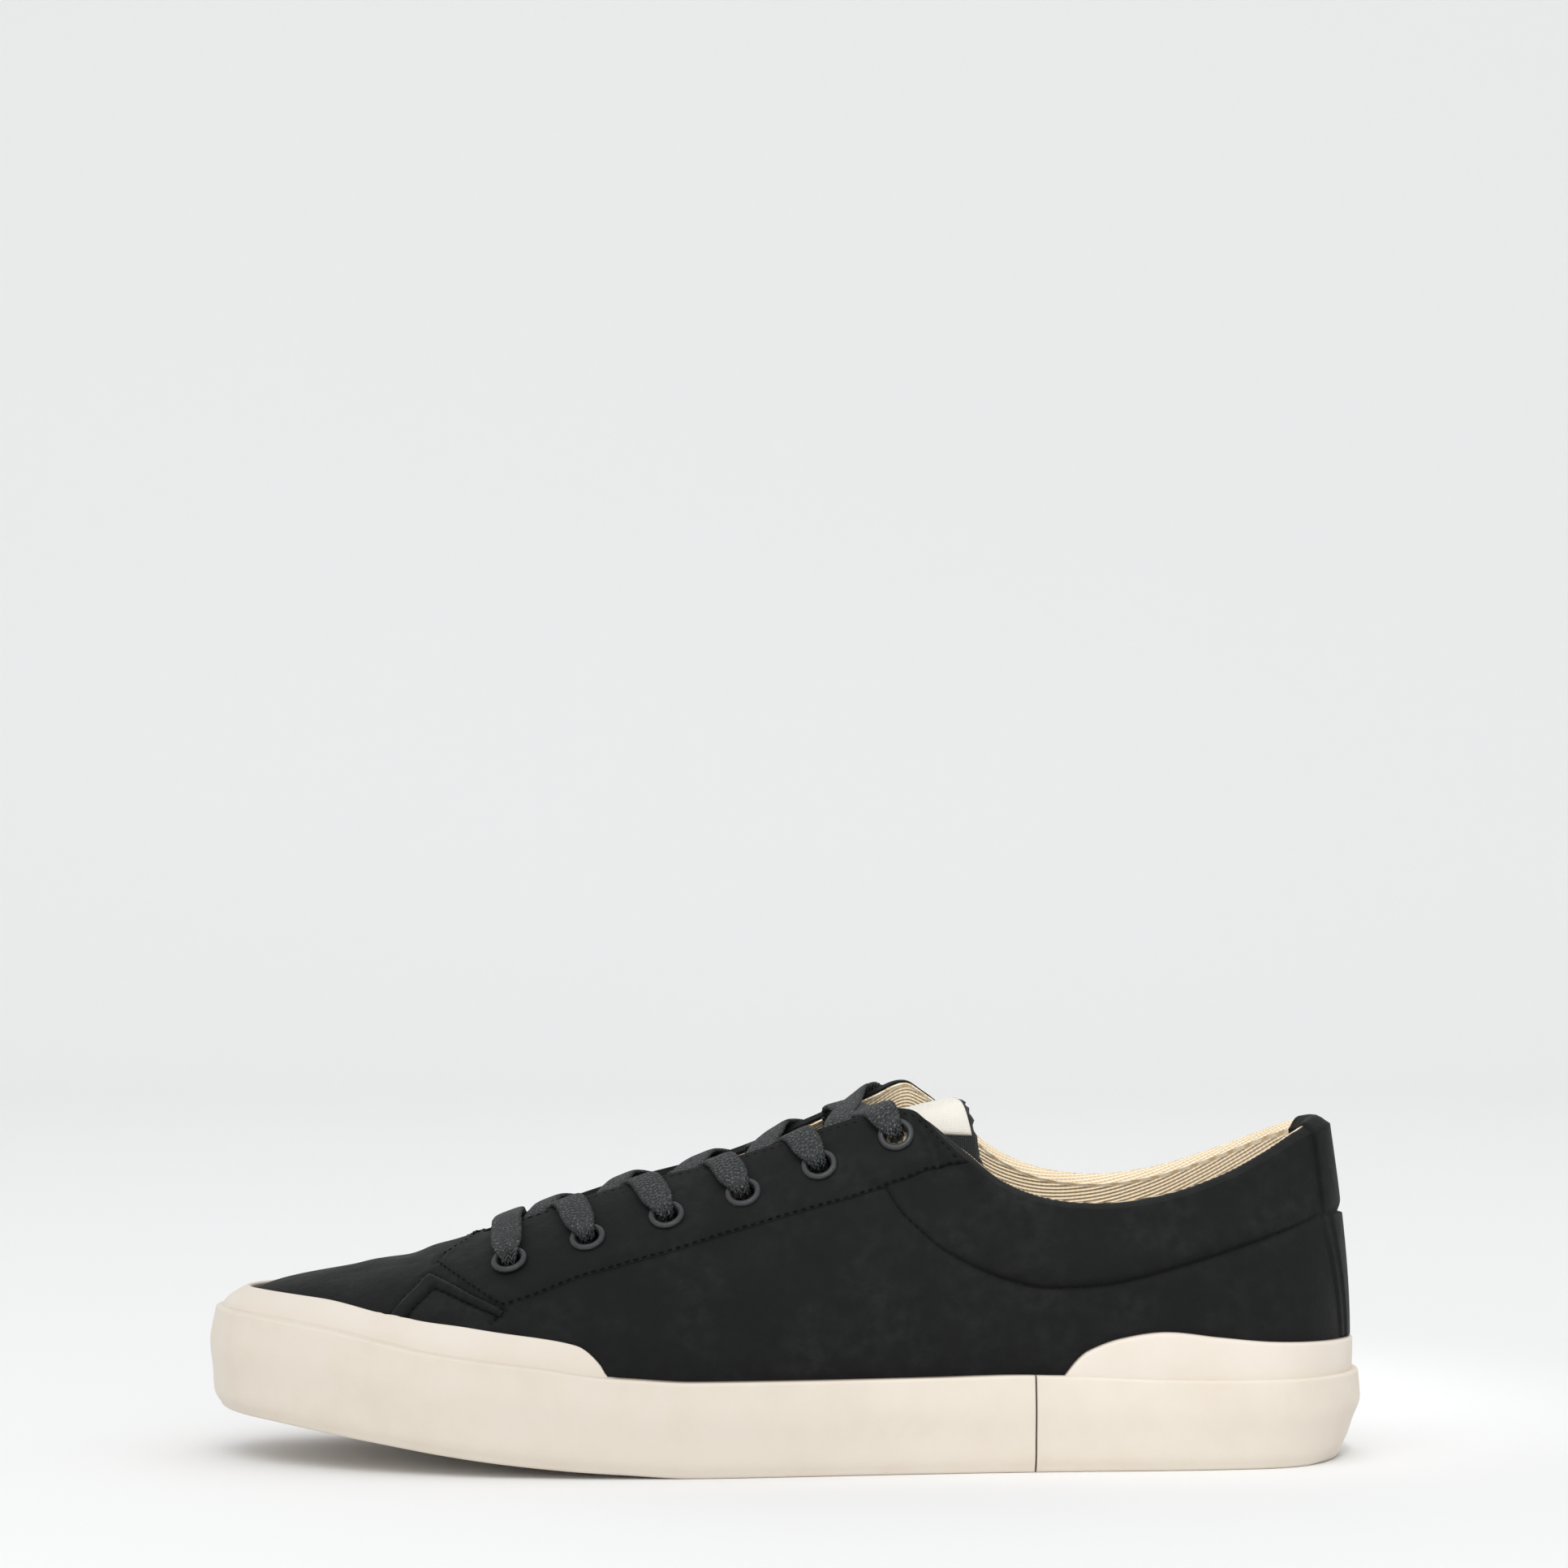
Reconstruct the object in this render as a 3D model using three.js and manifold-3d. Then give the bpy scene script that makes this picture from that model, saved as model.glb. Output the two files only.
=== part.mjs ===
// A low-top lace-up trainer for the left foot: a thick rubber sidewall round a flat
// rubber outsole, a suede upper with stitched-on facings, and flat crossed laces.
// Millimetres, +Z up. The toe points along -X, the outer side of the foot along -Y.
// The origin is on the floor under the middle of the shoe.
import * as THREE from 'three';
import { mergeVertices } from 'three/addons/utils/BufferGeometryUtils.js';
import Module from 'manifold-3d';

const wasm = await Module();
wasm.setup();

// Plan of the sole
const SOLE_LENGTH = 296;
const BALL_WIDTH = 107;
const WAIST_WIDTH = 80;
const HEEL_WIDTH = 78.2;

// Heights above the floor
const TOE_SPRING = 12.3;
const HEEL_BEVEL = 2.5;
const FOXING_HEIGHT = 24;
const THROAT_HEIGHT = 57;
const FACING_HEIGHT = 89.3;
const COLLAR_DIP = 65.2;
const HEEL_HEIGHT = 84.6;
const INNER_SIDE_LIFT = 5.5;

// Openings of the upper
const THROAT_GAP = 35;
const COLLAR_WIDTH = 64;

// Thicknesses
const CLEARANCE = 0.3;
const UPPER_WALL = 2;
const COLLAR_WALL = 6;
const COLLAR_SWELL = 1.3;
const FOXING_WALL = 5.2;
const FOXING_ROUND = 1.5;
const TOE_ROUND = 2.8;
const HEEL_ROUND = 4.6;
const OUTSOLE_THICKNESS = 9;
const INSOLE_THICKNESS = 4;
const FACING_THICKNESS = 1.1;
const GUARD_THICKNESS = 1.6;
const GUARD_TUCK = 6;
const TOE_GUARD_RISE = 8;
const HEEL_GUARD_RISE = 11.5;
const TONGUE_THICKNESS = 3;
const TONGUE_REACH = 12;
const TONGUE_SWEEP = 7;
const TONGUE_LIFT = 3;
const TONGUE_DROOP = 6;
const TONGUE_TUCK = 0.86;
const TONGUE_CROWN = 0.07;
const TONGUE_LEVEL = 6.5;
const TONGUE_TAPER = 0.2;
const LACE_HUMP = 1;

// A crossing lace's way, as shares of the step to the next eyelet: where it comes up inside
// the throat and where it goes over the far edge. Then, in its thicknesses, how far in from
// the edge it comes up and how much of each lace lies over or under the other.
const LACE_RISE = 0.15;
const LACE_EDGE = 0.72;
const LACE_INWARD = 2.7;
const LACE_OVERLAP = 0.45;

// How many clearances a lace keeps where it bends over a facing's edge.
const LACE_HOVER = 3.5;
const ARCH_RISE = 3;
const ARCH_DISH = 1.5;
const ARCH_STATION = 11;
const LABEL_THICKNESS = 0.6;
const LABEL_MARGIN = 1.2;
const LABEL_SIDE = 0.14;
const GROOVE_DEPTH = 1.6;
const GROOVE_WIDTH = 5;
const GROOVE_PITCH = 24;
const TREAD_BORDER = 7;

// Heel tab and the strip below it
const TAB_THICKNESS = 1.4;
const TAB_HALF_WIDTH = 14;
const TAB_FOOT_HEIGHT = 62;
const TAB_INNER_SHARE = 0.87;
const STRIP_THICKNESS = 1;
const STRIP_HALF_WIDTH = 11.5;

// Eyelets and laces
const EYELETS_PER_SIDE = 6;
const EYELET_RADIUS = 4.6;
const EYELET_BORE = 2.8;
const EYELET_BARREL = 3.3;
const EYELET_FLANGE = 0.9;
const LACE_WIDTH = 8;
const LACE_THICKNESS = 1.6;

// Colours
const suede = new THREE.MeshStandardMaterial({ color: 0x23262a, roughness: 0.85 });
const rubber = new THREE.MeshStandardMaterial({ color: 0xefe4d3, roughness: 0.6 });
const canvas = new THREE.MeshStandardMaterial({ color: 0xdcc7a0, roughness: 0.95 });
const weave = new THREE.MeshStandardMaterial({ color: 0x1c2022, roughness: 0.8 });
const paintedMetal = new THREE.MeshStandardMaterial({ color: 0x24282b, roughness: 0.45, metalness: 0.3 });
const labelCloth = new THREE.MeshStandardMaterial({ color: 0xf3ecda, roughness: 0.9 });

// Turns rows of bare cells into objects with named columns.
const table = (columns, rows) =>
  rows.map((row) => Object.fromEntries(columns.map((name, i) => [name, row[i]])));

// The shoe's sections, from the toe tip (first) to the back of the heel (last).
// x, topX: shares of the sole's length from its middle. lateral, medial: the sole's edge,
// as shares of the width named. half: half of the opening at the top edge, as a share of
// the opening named. height: the outer side's top edge as a share of the height named.
// lift: how much higher the inner side's top edge is, as a share of the inner side's lift.
const SECTIONS = table(
  ['x', 'lateral', 'medial', 'width', 'topX', 'half', 'opening', 'height', 'of', 'lift'],
  [
    [-0.5, 0.079, 0.079, BALL_WIDTH, -0.378, 0.2, THROAT_GAP, 0.84, THROAT_HEIGHT, 0],
    [-0.4905, -0.047, 0.206, BALL_WIDTH, -0.375, 0.2, THROAT_GAP, 0.844, THROAT_HEIGHT, 0],
    [-0.466, -0.164, 0.299, BALL_WIDTH, -0.365, 0.2, THROAT_GAP, 0.856, THROAT_HEIGHT, 0],
    [-0.422, -0.276, 0.374, BALL_WIDTH, -0.346, 0.2, THROAT_GAP, 0.875, THROAT_HEIGHT, 0],
    [-0.355, -0.383, 0.444, BALL_WIDTH, -0.312, 0.2, THROAT_GAP, 0.9175, THROAT_HEIGHT, 0],
    [-0.27, -0.463, 0.489, BALL_WIDTH, -0.26, 0.3, THROAT_GAP, 1, THROAT_HEIGHT, 0],
    [-0.203, -0.4935, 0.5, BALL_WIDTH, -0.203, 0.3, THROAT_GAP, 0.701, FACING_HEIGHT, 0.04],
    [-0.1385, -0.5, 0.481, BALL_WIDTH, -0.1385, 0.31, THROAT_GAP, 0.7715, FACING_HEIGHT, 0.07],
    [-0.0575, -0.486, 0.433, BALL_WIDTH, -0.0575, 0.34, THROAT_GAP, 0.842, FACING_HEIGHT, 0.15],
    [0.02, -0.604, 0.515, WAIST_WIDTH, 0.017, 0.39, THROAT_GAP, 0.927, FACING_HEIGHT, 0.4],
    [0.078, -0.566, 0.4825, WAIST_WIDTH, 0.071, 0.443, THROAT_GAP, 0.984, FACING_HEIGHT, 0.67],
    [0.1115, -0.546, 0.4725, WAIST_WIDTH, 0.1015, 0.5, THROAT_GAP, 1, FACING_HEIGHT, 1],
    [0.135, -0.5325, 0.4675, WAIST_WIDTH, 0.1215, 0.571, THROAT_GAP, 0.9675, FACING_HEIGHT, 0.96],
    [0.162, -0.5175, 0.465, WAIST_WIDTH, 0.152, 0.398, COLLAR_WIDTH, 1.2025, COLLAR_DIP, 0.91],
    [0.1925, -0.5025, 0.469, WAIST_WIDTH, 0.184, 0.461, COLLAR_WIDTH, 1.083, COLLAR_DIP, 0.84],
    [0.233, -0.497, 0.491, HEEL_WIDTH, 0.2265, 0.497, COLLAR_WIDTH, 1.014, COLLAR_DIP, 0.67],
    [0.284, -0.481, 0.514, HEEL_WIDTH, 0.279, 0.5, COLLAR_WIDTH, 1, COLLAR_DIP, 0.55],
    [0.3345, -0.465, 0.5345, HEEL_WIDTH, 0.331, 0.461, COLLAR_WIDTH, 1.034, COLLAR_DIP, 0.55],
    [0.385, -0.44, 0.527, HEEL_WIDTH, 0.3785, 0.3875, COLLAR_WIDTH, 0.849, HEEL_HEIGHT, 0.58],
    [0.429, -0.403, 0.492, HEEL_WIDTH, 0.4155, 0.297, COLLAR_WIDTH, 0.908, HEEL_HEIGHT, 0.47],
    [0.463, -0.313, 0.403, HEEL_WIDTH, 0.444, 0.195, COLLAR_WIDTH, 0.96, HEEL_HEIGHT, 0.29],
    [0.49, -0.153, 0.243, HEEL_WIDTH, 0.464, 0.094, COLLAR_WIDTH, 0.9905, HEEL_HEIGHT, 0.11],
    [0.5, 0.045, 0.045, HEEL_WIDTH, 0.471, 0, COLLAR_WIDTH, 1, HEEL_HEIGHT, 0],
  ],
);
const HEEL = SECTIONS.length - 1;
const THROAT = 5;
const FACING_TOP = 11;

// Where the top edge's middle lies, by section, as a share of the ball width.
const TOP_MIDDLE = [[0, 0.056], [3, 0.051], [THROAT, 0.042], [8, 0.037], [16, 0.033], [HEEL, 0.033]];

// How the wall bends between its foot and its crest, by section. rise and drop: where
// its two handles stand, as shares of the wall's height. swell and reach: how far they
// lean out, as shares of the ball width. spread: 0 where the crest is the ridge over the
// middle, which the throat cuts open, and 1 where it is the collar's own edge.
const WALL_BENDS = table(
  ['at', 'rise', 'swell', 'drop', 'reach', 'spread'],
  [
    [0, 0.75, 0.005, 0.16, 0.27, 0],
    [3, 0.66, 0.01, 0.12, 0.23, 0],
    [THROAT, 0.55, 0.02, 0.04, 0.23, 0],
    [7, 0.42, 0.015, 0.04, 0.25, 0],
    [9, 0.38, 0.012, 0.06, 0.24, 0.1],
    [FACING_TOP, 0.37, 0.01, 0.16, 0.14, 0.62],
    [13, 0.38, 0.015, 0.28, 0.045, 1],
    [16, 0.36, 0.03, 0.3, 0.03, 1],
    [19, 0.34, 0.03, 0.34, 0.035, 1],
    [HEEL, 0.33, 0.03, 0.38, 0.035, 1],
  ],
);
const BEND_LINES = Object.fromEntries(
  ['rise', 'swell', 'drop', 'reach', 'spread'].map((name) => [
    name,
    WALL_BENDS.map((row) => [row.at, row[name]]),
  ]),
);

// Lines seen from the side. x: share of the sole's length; z: share of the size named
// where each line is used.
const BOTTOM_LINE = [
  [-0.5, 1], [-0.435, 0.89], [-0.348, 0.62], [-0.29, 0.42], [-0.236, 0.27], [-0.18, 0.15],
  [-0.127, 0.07], [-0.075, 0], [0.5, 0],
];
const HEEL_BEVEL_LINE = [[0.455, 0], [0.47, 0.15], [0.485, 0.55], [0.5, 1]];
const FOXING_LINE = [
  [-0.5, 1.07], [-0.39, 1.08], [-0.3, 1.035], [-0.215, 1.035], [-0.147, 0.99], [0, 0.99],
  [0.125, 1], [0.195, 1.015], [0.333, 0.95], [0.5, 0.93],
];
const TOE_GUARD_LINE = [
  [-0.5, 0.55], [-0.435, 0.68], [-0.377, 0.72], [-0.32, 0.76], [-0.264, 0.83], [-0.209, 0.81],
  [-0.181, 0.8], [-0.168, 0.71], [-0.1545, 0.33], [-0.148, -0.05],
];
const HEEL_GUARD_LINE = [
  [0.236, -0.03], [0.247, 0.33], [0.257, 0.55], [0.285, 0.85], [0.326, 1.02], [0.368, 0.91],
  [0.411, 0.8], [0.457, 0.75], [0.5, 0.73],
];
const FACING_FOOT_LINE = [
  [-0.298, 0.562], [-0.2375, 0.459], [-0.213, 0.486], [-0.171, 0.5375], [-0.126, 0.579],
  [-0.08, 0.6215], [-0.034, 0.67], [0.0125, 0.713], [0.059, 0.757], [0.09, 0.792],
  [0.1205, 0.8275], [0.157, 0.854],
];
const FACING_FRONT_LINE = [[-0.298, 0.562], [-0.293, 0.5845], [-0.277, 0.6155], [-0.262, 0.6395]];
const COLLAR_SEAM_LINE = [
  [0.0865, 1.081], [0.099, 0.994], [0.114, 0.928], [0.136, 0.845], [0.177, 0.7515],
  [0.227, 0.701], [0.277, 0.715], [0.328, 0.768], [0.379, 0.834], [0.432, 0.9095], [0.47, 0.97],
];
const EYELET_LINE = [
  [-0.233, 0.571], [-0.1665, 0.634], [-0.0995, 0.6965], [-0.034, 0.759], [0.031, 0.8375],
  [0.0965, 0.924],
];

// A smooth curve through points of rising x, level beyond its ends and at its peaks.
function through(points, x) {
  const last = points.length - 1;
  if (x <= points[0][0]) return points[0][1];
  if (x >= points[last][0]) return points[last][1];
  let i = 0;
  while (x > points[i + 1][0]) i += 1;
  const slope = (a, b) => (points[b][1] - points[a][1]) / (points[b][0] - points[a][0]);
  const tangent = (k) => {
    if (k === 0 || k === last) return slope(Math.max(k - 1, 0), Math.min(k + 1, last));
    return slope(k - 1, k) * slope(k, k + 1) > 0 ? slope(k - 1, k + 1) : 0;
  };
  const span = points[i + 1][0] - points[i][0];
  const t = (x - points[i][0]) / span;
  return (
    points[i][1] * (2 * t ** 3 - 3 * t ** 2 + 1) +
    points[i + 1][1] * (3 * t ** 2 - 2 * t ** 3) +
    tangent(i) * span * (t ** 3 - 2 * t ** 2 + t) +
    tangent(i + 1) * span * (t ** 3 - t ** 2)
  );
}
const lineHeight = (line, size) => (x) => size * through(line, x / SOLE_LENGTH);
const smoothStep = (t) => {
  const c = Math.min(1, Math.max(0, t));
  return c * c * (3 - 2 * c);
};

// A column's smooth value at station u, which runs round the shoe: 0 is the toe tip,
// HEEL and -HEEL the back of the heel, minus the outer side and plus the inner side.
function around(value, u) {
  const wrap = (i) => (i > HEEL ? i - 2 * HEEL : i <= -HEEL ? i + 2 * HEEL : i);
  const i = Math.floor(u);
  const t = u - i;
  const [a, b, c, d] = [i - 1, i, i + 1, i + 2].map((k) => value(wrap(k)));
  return (
    0.5 * (2 * b + (c - a) * t + (2 * a - 5 * b + 4 * c - d) * t * t + (3 * b - a - 3 * c + d) * t ** 3)
  );
}
const rowAt = (i) => SECTIONS[Math.abs(i)];

const bottomHeight = lineHeight(BOTTOM_LINE, TOE_SPRING);
const underHeight = (x) => bottomHeight(x) + HEEL_BEVEL * through(HEEL_BEVEL_LINE, x / SOLE_LENGTH);
const foxingTop = (x) => bottomHeight(x) + FOXING_HEIGHT * through(FOXING_LINE, x / SOLE_LENGTH);
const outsoleTop = (x) => bottomHeight(x) + OUTSOLE_THICKNESS;

// The sole's edge in plan at station u, moved out by an offset.
function solePoint(u, offset = 0) {
  const edge = (s) =>
    new THREE.Vector3(
      around((i) => rowAt(i).x * SOLE_LENGTH, s),
      around((i) => (i < 0 ? rowAt(i).lateral : rowAt(i).medial) * rowAt(i).width, s),
      0,
    );
  const step = 0.02;
  const along = edge(u + step).sub(edge(u - step)).normalize();
  const out = new THREE.Vector3(-along.y, along.x, 0);
  return { place: edge(u).addScaledVector(out, offset), out };
}

// How high the rolled edge stands, as a share of the wall.
const ROLL_SHARE = 0.3;

// 0 where the upper's two sides join over the toe, 1 where its top edge is open. The
// throat's front end is round.
const THROAT_ROUND = 0.6;
const openness = (u) => {
  const t = Math.min(1, Math.max(0, (Math.abs(u) - THROAT) / THROAT_ROUND));
  return Math.sqrt(1 - (1 - t) ** 2);
};

// Half of the throat's or collar's opening at station u, minus on the outer side.
const halfOpening = (u) => around((i) => Math.sign(i) * rowAt(i).half * rowAt(i).opening, u);
const middleLine = (u) => BALL_WIDTH * through(TOP_MIDDLE, Math.abs(u));

// The crest of the upper's wall at station u.
function crest(u) {
  const spread = through(BEND_LINES.spread, Math.abs(u));
  const half = halfOpening(u);
  const height = around((i) => rowAt(i).height * rowAt(i).of, u);
  const lift = u > THROAT ? around((i) => (i > 0 ? rowAt(i).lift * INNER_SIDE_LIFT : 0), u) : 0;
  const x = around((i) => rowAt(i).topX * SOLE_LENGTH, u);
  return new THREE.Vector3(x, middleLine(u) + half * spread, height + lift);
}

// The share of a wall's curve at which it comes within a gap of the middle line.
function cutShare(curve, u, gap) {
  let [low, high] = [0.5, 1];
  for (let i = 0; i < 24; i += 1) {
    const t = (low + high) / 2;
    if (Math.abs(curve.getPoint(t).y - middleLine(u)) > gap) low = t;
    else high = t;
  }
  return (low + high) / 2;
}

// The wall's curve at station u, from its foot to its crest, and the share of the curve
// at which the throat cuts it off. Beside the throat the crest is raised until the cut
// edge has the height that the sections give.
const walls = new Map();
function wallAt(u) {
  if (walls.has(u)) return walls.get(u);
  const bend = (name) => through(BEND_LINES[name], Math.abs(u));
  const { place: foot, out } = solePoint(u, -FOXING_WALL);
  foot.z = outsoleTop(foot.x) + CLEARANCE;
  const curveTo = (top) => {
    const tall = top.z - foot.z;
    const first = foot.clone().addScaledVector(out, bend('swell') * BALL_WIDTH);
    first.z += bend('rise') * tall;
    const second = top.clone().addScaledVector(out, bend('reach') * BALL_WIDTH);
    second.z -= bend('drop') * tall;
    return new THREE.CubicBezierCurve3(foot, first, second, top);
  };
  const top = crest(u);
  const wall = { curve: curveTo(top), cut: 1 };
  if (Math.abs(u) > THROAT && bend('spread') < 1) {
    const edgeHeight = top.z;
    const half = Math.abs(halfOpening(u));
    for (let i = 0; i < 4; i += 1) {
      const edge = wall.curve.getPoint(cutShare(wall.curve, u, half));
      top.z += (edgeHeight - edge.z) * smoothStep(Math.abs(u) - THROAT);
      wall.curve = curveTo(top);
    }
    wall.cut = cutShare(wall.curve, u, half * openness(u));
  }
  walls.set(u, wall);
  return wall;
}

// The upper's outer face without its padding, at station u and share v of the wall.
function wallPoint(u, v) {
  const { curve, cut } = wallAt(u);
  return curve.getPoint(v * cut);
}

// The share v at which the wall at station u crosses a line of height over x.
function crossing(u, heightAt) {
  let [low, high] = [0, 1];
  for (let i = 0; i < 24; i += 1) {
    const v = (low + high) / 2;
    const p = wallPoint(u, v);
    if (p.z < heightAt(p.x)) low = v;
    else high = v;
  }
  return (low + high) / 2;
}

// How far along the collar's padding station u is, from 0 at the facing to 1.
const collarShare = (u) => smoothStep((Math.abs(u) - FACING_TOP) / 3);

// The swelling of the padded collar between its seam and its top edge.
function padding(u, v) {
  const share = collarShare(u);
  if (share === 0) return 0;
  const seam = crossing(u, lineHeight(COLLAR_SEAM_LINE, COLLAR_DIP));
  const t = Math.min(1, Math.max(0, (v - seam) / (1 - seam)));
  return COLLAR_SWELL * share * Math.sin(Math.PI * Math.sqrt(t));
}

function wallNormal(u, v) {
  const step = 0.01;
  const [below, above] = [Math.max(0, v - step), Math.min(1, v + step)];
  const up = wallPoint(u, above).sub(wallPoint(u, below));
  const along = wallPoint(u + step, v).sub(wallPoint(u - step, v));
  return up.cross(along).normalize();
}

// The upper's outer face moved out by an offset.
function skin(u, v, offset = 0) {
  const normal = wallNormal(u, v);
  if (v === 1 && Math.abs(u) <= THROAT) normal.add(wallNormal(-u, v)).normalize();
  return wallPoint(u, v).addScaledVector(normal, offset + padding(u, v));
}

// The wall's thickness: thin, and padded towards the collar's edge.
const wallThickness = (u, v) =>
  UPPER_WALL + (COLLAR_WALL - UPPER_WALL) * collarShare(u) * smoothStep((v - 0.3) / 0.6);

const evenly = (from, to, steps) =>
  Array.from({ length: steps + 1 }, (_, i) => from + ((to - from) * i) / steps);

// Makes one closed solid of triangles, its faces turned outwards.
function solidOf(triangles) {
  const geometry = new THREE.BufferGeometry();
  const corners = triangles.flatMap((t) => t.flatMap((p) => [p.x, p.y, p.z]));
  geometry.setAttribute('position', new THREE.Float32BufferAttribute(corners, 3));
  const merged = mergeVertices(geometry, 0.002);
  const index = [];
  for (let i = 0; i < merged.index.count; i += 3) {
    const [a, b, c] = [0, 1, 2].map((k) => merged.index.getX(i + k));
    if (a !== b && b !== c && c !== a) index.push(a, b, c);
  }
  const mesh = (order) =>
    new wasm.Manifold(
      new wasm.Mesh({
        numProp: 3,
        vertProperties: new Float32Array(merged.attributes.position.array),
        triVerts: new Uint32Array(order),
      }),
    );
  const solid = mesh(index);
  return solid.volume() > 0 ? solid : mesh(index.reverse());
}

const quad = (a, b, c, d) => [[a, b, c], [a, c, d]];

// Faces between neighbouring rows of a grid of points.
const gridFaces = (grid) =>
  grid.slice(1).flatMap((row, i) =>
    row.slice(1).flatMap((p, j) => quad(grid[i][j], grid[i][j + 1], p, grid[i + 1][j])),
  );

// A solid between two grids of the same size.
function between(outer, inner) {
  const edge = (grid) => [
    ...grid[0],
    ...grid.slice(1, -1).map((row) => row.at(-1)),
    ...[...grid.at(-1)].reverse(),
    ...grid.slice(1, -1).map((row) => row[0]).reverse(),
  ];
  const [over, under] = [edge(outer), edge(inner)];
  const rim = over.flatMap((p, i) => {
    const next = (i + 1) % over.length;
    return quad(over[next], p, under[i], under[next]);
  });
  const back = gridFaces(inner).map(([a, b, c]) => [a, c, b]);
  return solidOf([...gridFaces(outer), ...back, ...rim]);
}

// A solid swept through closed sections, with flat ends unless it closes on itself.
function sweep(sections, closed = false) {
  const faces = [];
  const rings = closed ? [...sections, sections[0]] : sections;
  rings.slice(1).forEach((ring, i) => {
    ring.forEach((p, j) => {
      const next = (j + 1) % ring.length;
      faces.push(...quad(rings[i][j], rings[i][next], ring[next], p));
    });
  });
  if (!closed) {
    for (const [ring, turned] of [[rings[0], true], [rings.at(-1), false]]) {
      const flat = ring.map((p) => new THREE.Vector2(...flatten(ring, p)));
      for (const [a, b, c] of THREE.ShapeUtils.triangulateShape(flat, [])) {
        faces.push(turned ? [ring[a], ring[c], ring[b]] : [ring[a], ring[b], ring[c]]);
      }
    }
  }
  return solidOf(faces);
}

// Two coordinates of a point in the plane of its ring.
function flatten(ring, point) {
  const normal = new THREE.Vector3();
  ring.forEach((p, i) => normal.add(p.clone().cross(ring[(i + 1) % ring.length])));
  normal.normalize();
  const side = new THREE.Vector3(0, 0, 1).cross(normal).normalize();
  const up = normal.clone().cross(side);
  return [point.dot(side), point.dot(up)];
}

function meshOf(name, solid, material) {
  const made = solid.getMesh();
  const geometry = new THREE.BufferGeometry();
  geometry.setAttribute('position', new THREE.Float32BufferAttribute(made.vertProperties, 3));
  geometry.setIndex(new THREE.Uint32BufferAttribute(made.triVerts, 1));
  geometry.computeVertexNormals();
  const mesh = new THREE.Mesh(geometry, material);
  mesh.name = name;
  return mesh;
}

// Stations along one side of the upper, closer together where the throat opens and the
// facing turns, and along one side of the sole.
const UPPER_STATIONS = [
  ...evenly(0, 4, 8), 4.4, 4.7, 5, 5.06, 5.2, 5.4, 5.6,
  ...evenly(6, 14, 16), ...evenly(15, 17, 2), ...evenly(17.5, HEEL, 9),
];
const SOLE_STATIONS = [...evenly(0, 10, 20), ...evenly(11, 16, 5), ...evenly(16.5, HEEL, 11)];

// The stations between two of them, where minus is the outer side.
const stationsWithin = (list, from, to) => [
  from,
  ...[...list.slice(1).reverse().map((u) => -u), ...list].filter((u) => u > from && u < to),
  to,
];

// Stations round the back of the heel, from the outer side to the inner side.
const roundHeel = (list, from) => {
  const half = stationsWithin(list, from, HEEL);
  return [...half.map((u) => -u), ...half.slice(0, -1).reverse()];
};

// The point on the wall nearest above a place seen from the side.
function locate(side, x, heightAt) {
  let [low, high] = [0, HEEL];
  for (let i = 0; i < 24; i += 1) {
    const u = (low + high) / 2;
    if (wallPoint(side * u, crossing(side * u, heightAt)).x < x) low = u;
    else high = u;
  }
  const u = (side * (low + high)) / 2;
  return { u, v: crossing(u, heightAt) };
}

// The inner side's lines lie higher, in step with its top edge.
const liftedLine = (side, line, size) => {
  const base = lineHeight(line, size);
  const liftOver = SECTIONS.slice(THROAT).map((row) => [row.topX, row.lift]);
  return (x) => base(x) + (side > 0 ? INNER_SIDE_LIFT * through(liftOver, x / SOLE_LENGTH) : 0);
};

const eyelets = [-1, 1].flatMap((side) =>
  EYELET_LINE.slice(0, EYELETS_PER_SIDE).map(([share], i) => {
    const { u, v } = locate(side, share * SOLE_LENGTH, liftedLine(side, EYELET_LINE, FACING_HEIGHT));
    return { side, number: i + 1, u, v };
  }),
);

// The solid inside a closed three.js geometry.
function fromGeometry(geometry) {
  const flat = (geometry.index ? geometry.toNonIndexed() : geometry).attributes.position;
  const pointAt = (_, i) => new THREE.Vector3().fromBufferAttribute(flat, i);
  const points = Array.from({ length: flat.count }, pointAt);
  return solidOf(Array.from({ length: flat.count / 3 }, (_, i) => points.slice(3 * i, 3 * i + 3)));
}

// A round bar or ring on the wall's normal at an eyelet.
function onEyelet(eyelet, profile, sides) {
  const lathe = new THREE.LatheGeometry(profile.map(([r, z]) => new THREE.Vector2(r, z)), sides);
  const normal = wallNormal(eyelet.u, eyelet.v);
  const turn = new THREE.Quaternion().setFromUnitVectors(new THREE.Vector3(0, 1, 0), normal);
  lathe.applyQuaternion(turn);
  lathe.translate(...skin(eyelet.u, eyelet.v).toArray());
  return fromGeometry(lathe);
}

const EYELET_SIDES = 8;
const eyeletHole = (eyelet) => {
  const r = EYELET_BARREL + CLEARANCE;
  const deep = UPPER_WALL * 3;
  return onEyelet(eyelet, [[0, -deep], [r, -deep], [r, deep], [0, deep]], EYELET_SIDES);
};

function makeEyelet(eyelet) {
  const seat = 2 * CLEARANCE + FACING_THICKNESS;
  const foot = -UPPER_WALL;
  const profile = [
    [EYELET_BORE, foot], [EYELET_BARREL, foot], [EYELET_BARREL, seat], [EYELET_RADIUS, seat],
    [EYELET_RADIUS * 0.86, seat + EYELET_FLANGE], [EYELET_BORE * 1.1, seat + EYELET_FLANGE],
    [EYELET_BORE, foot],
  ];
  return onEyelet(eyelet, profile, EYELET_SIDES);
}

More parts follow.
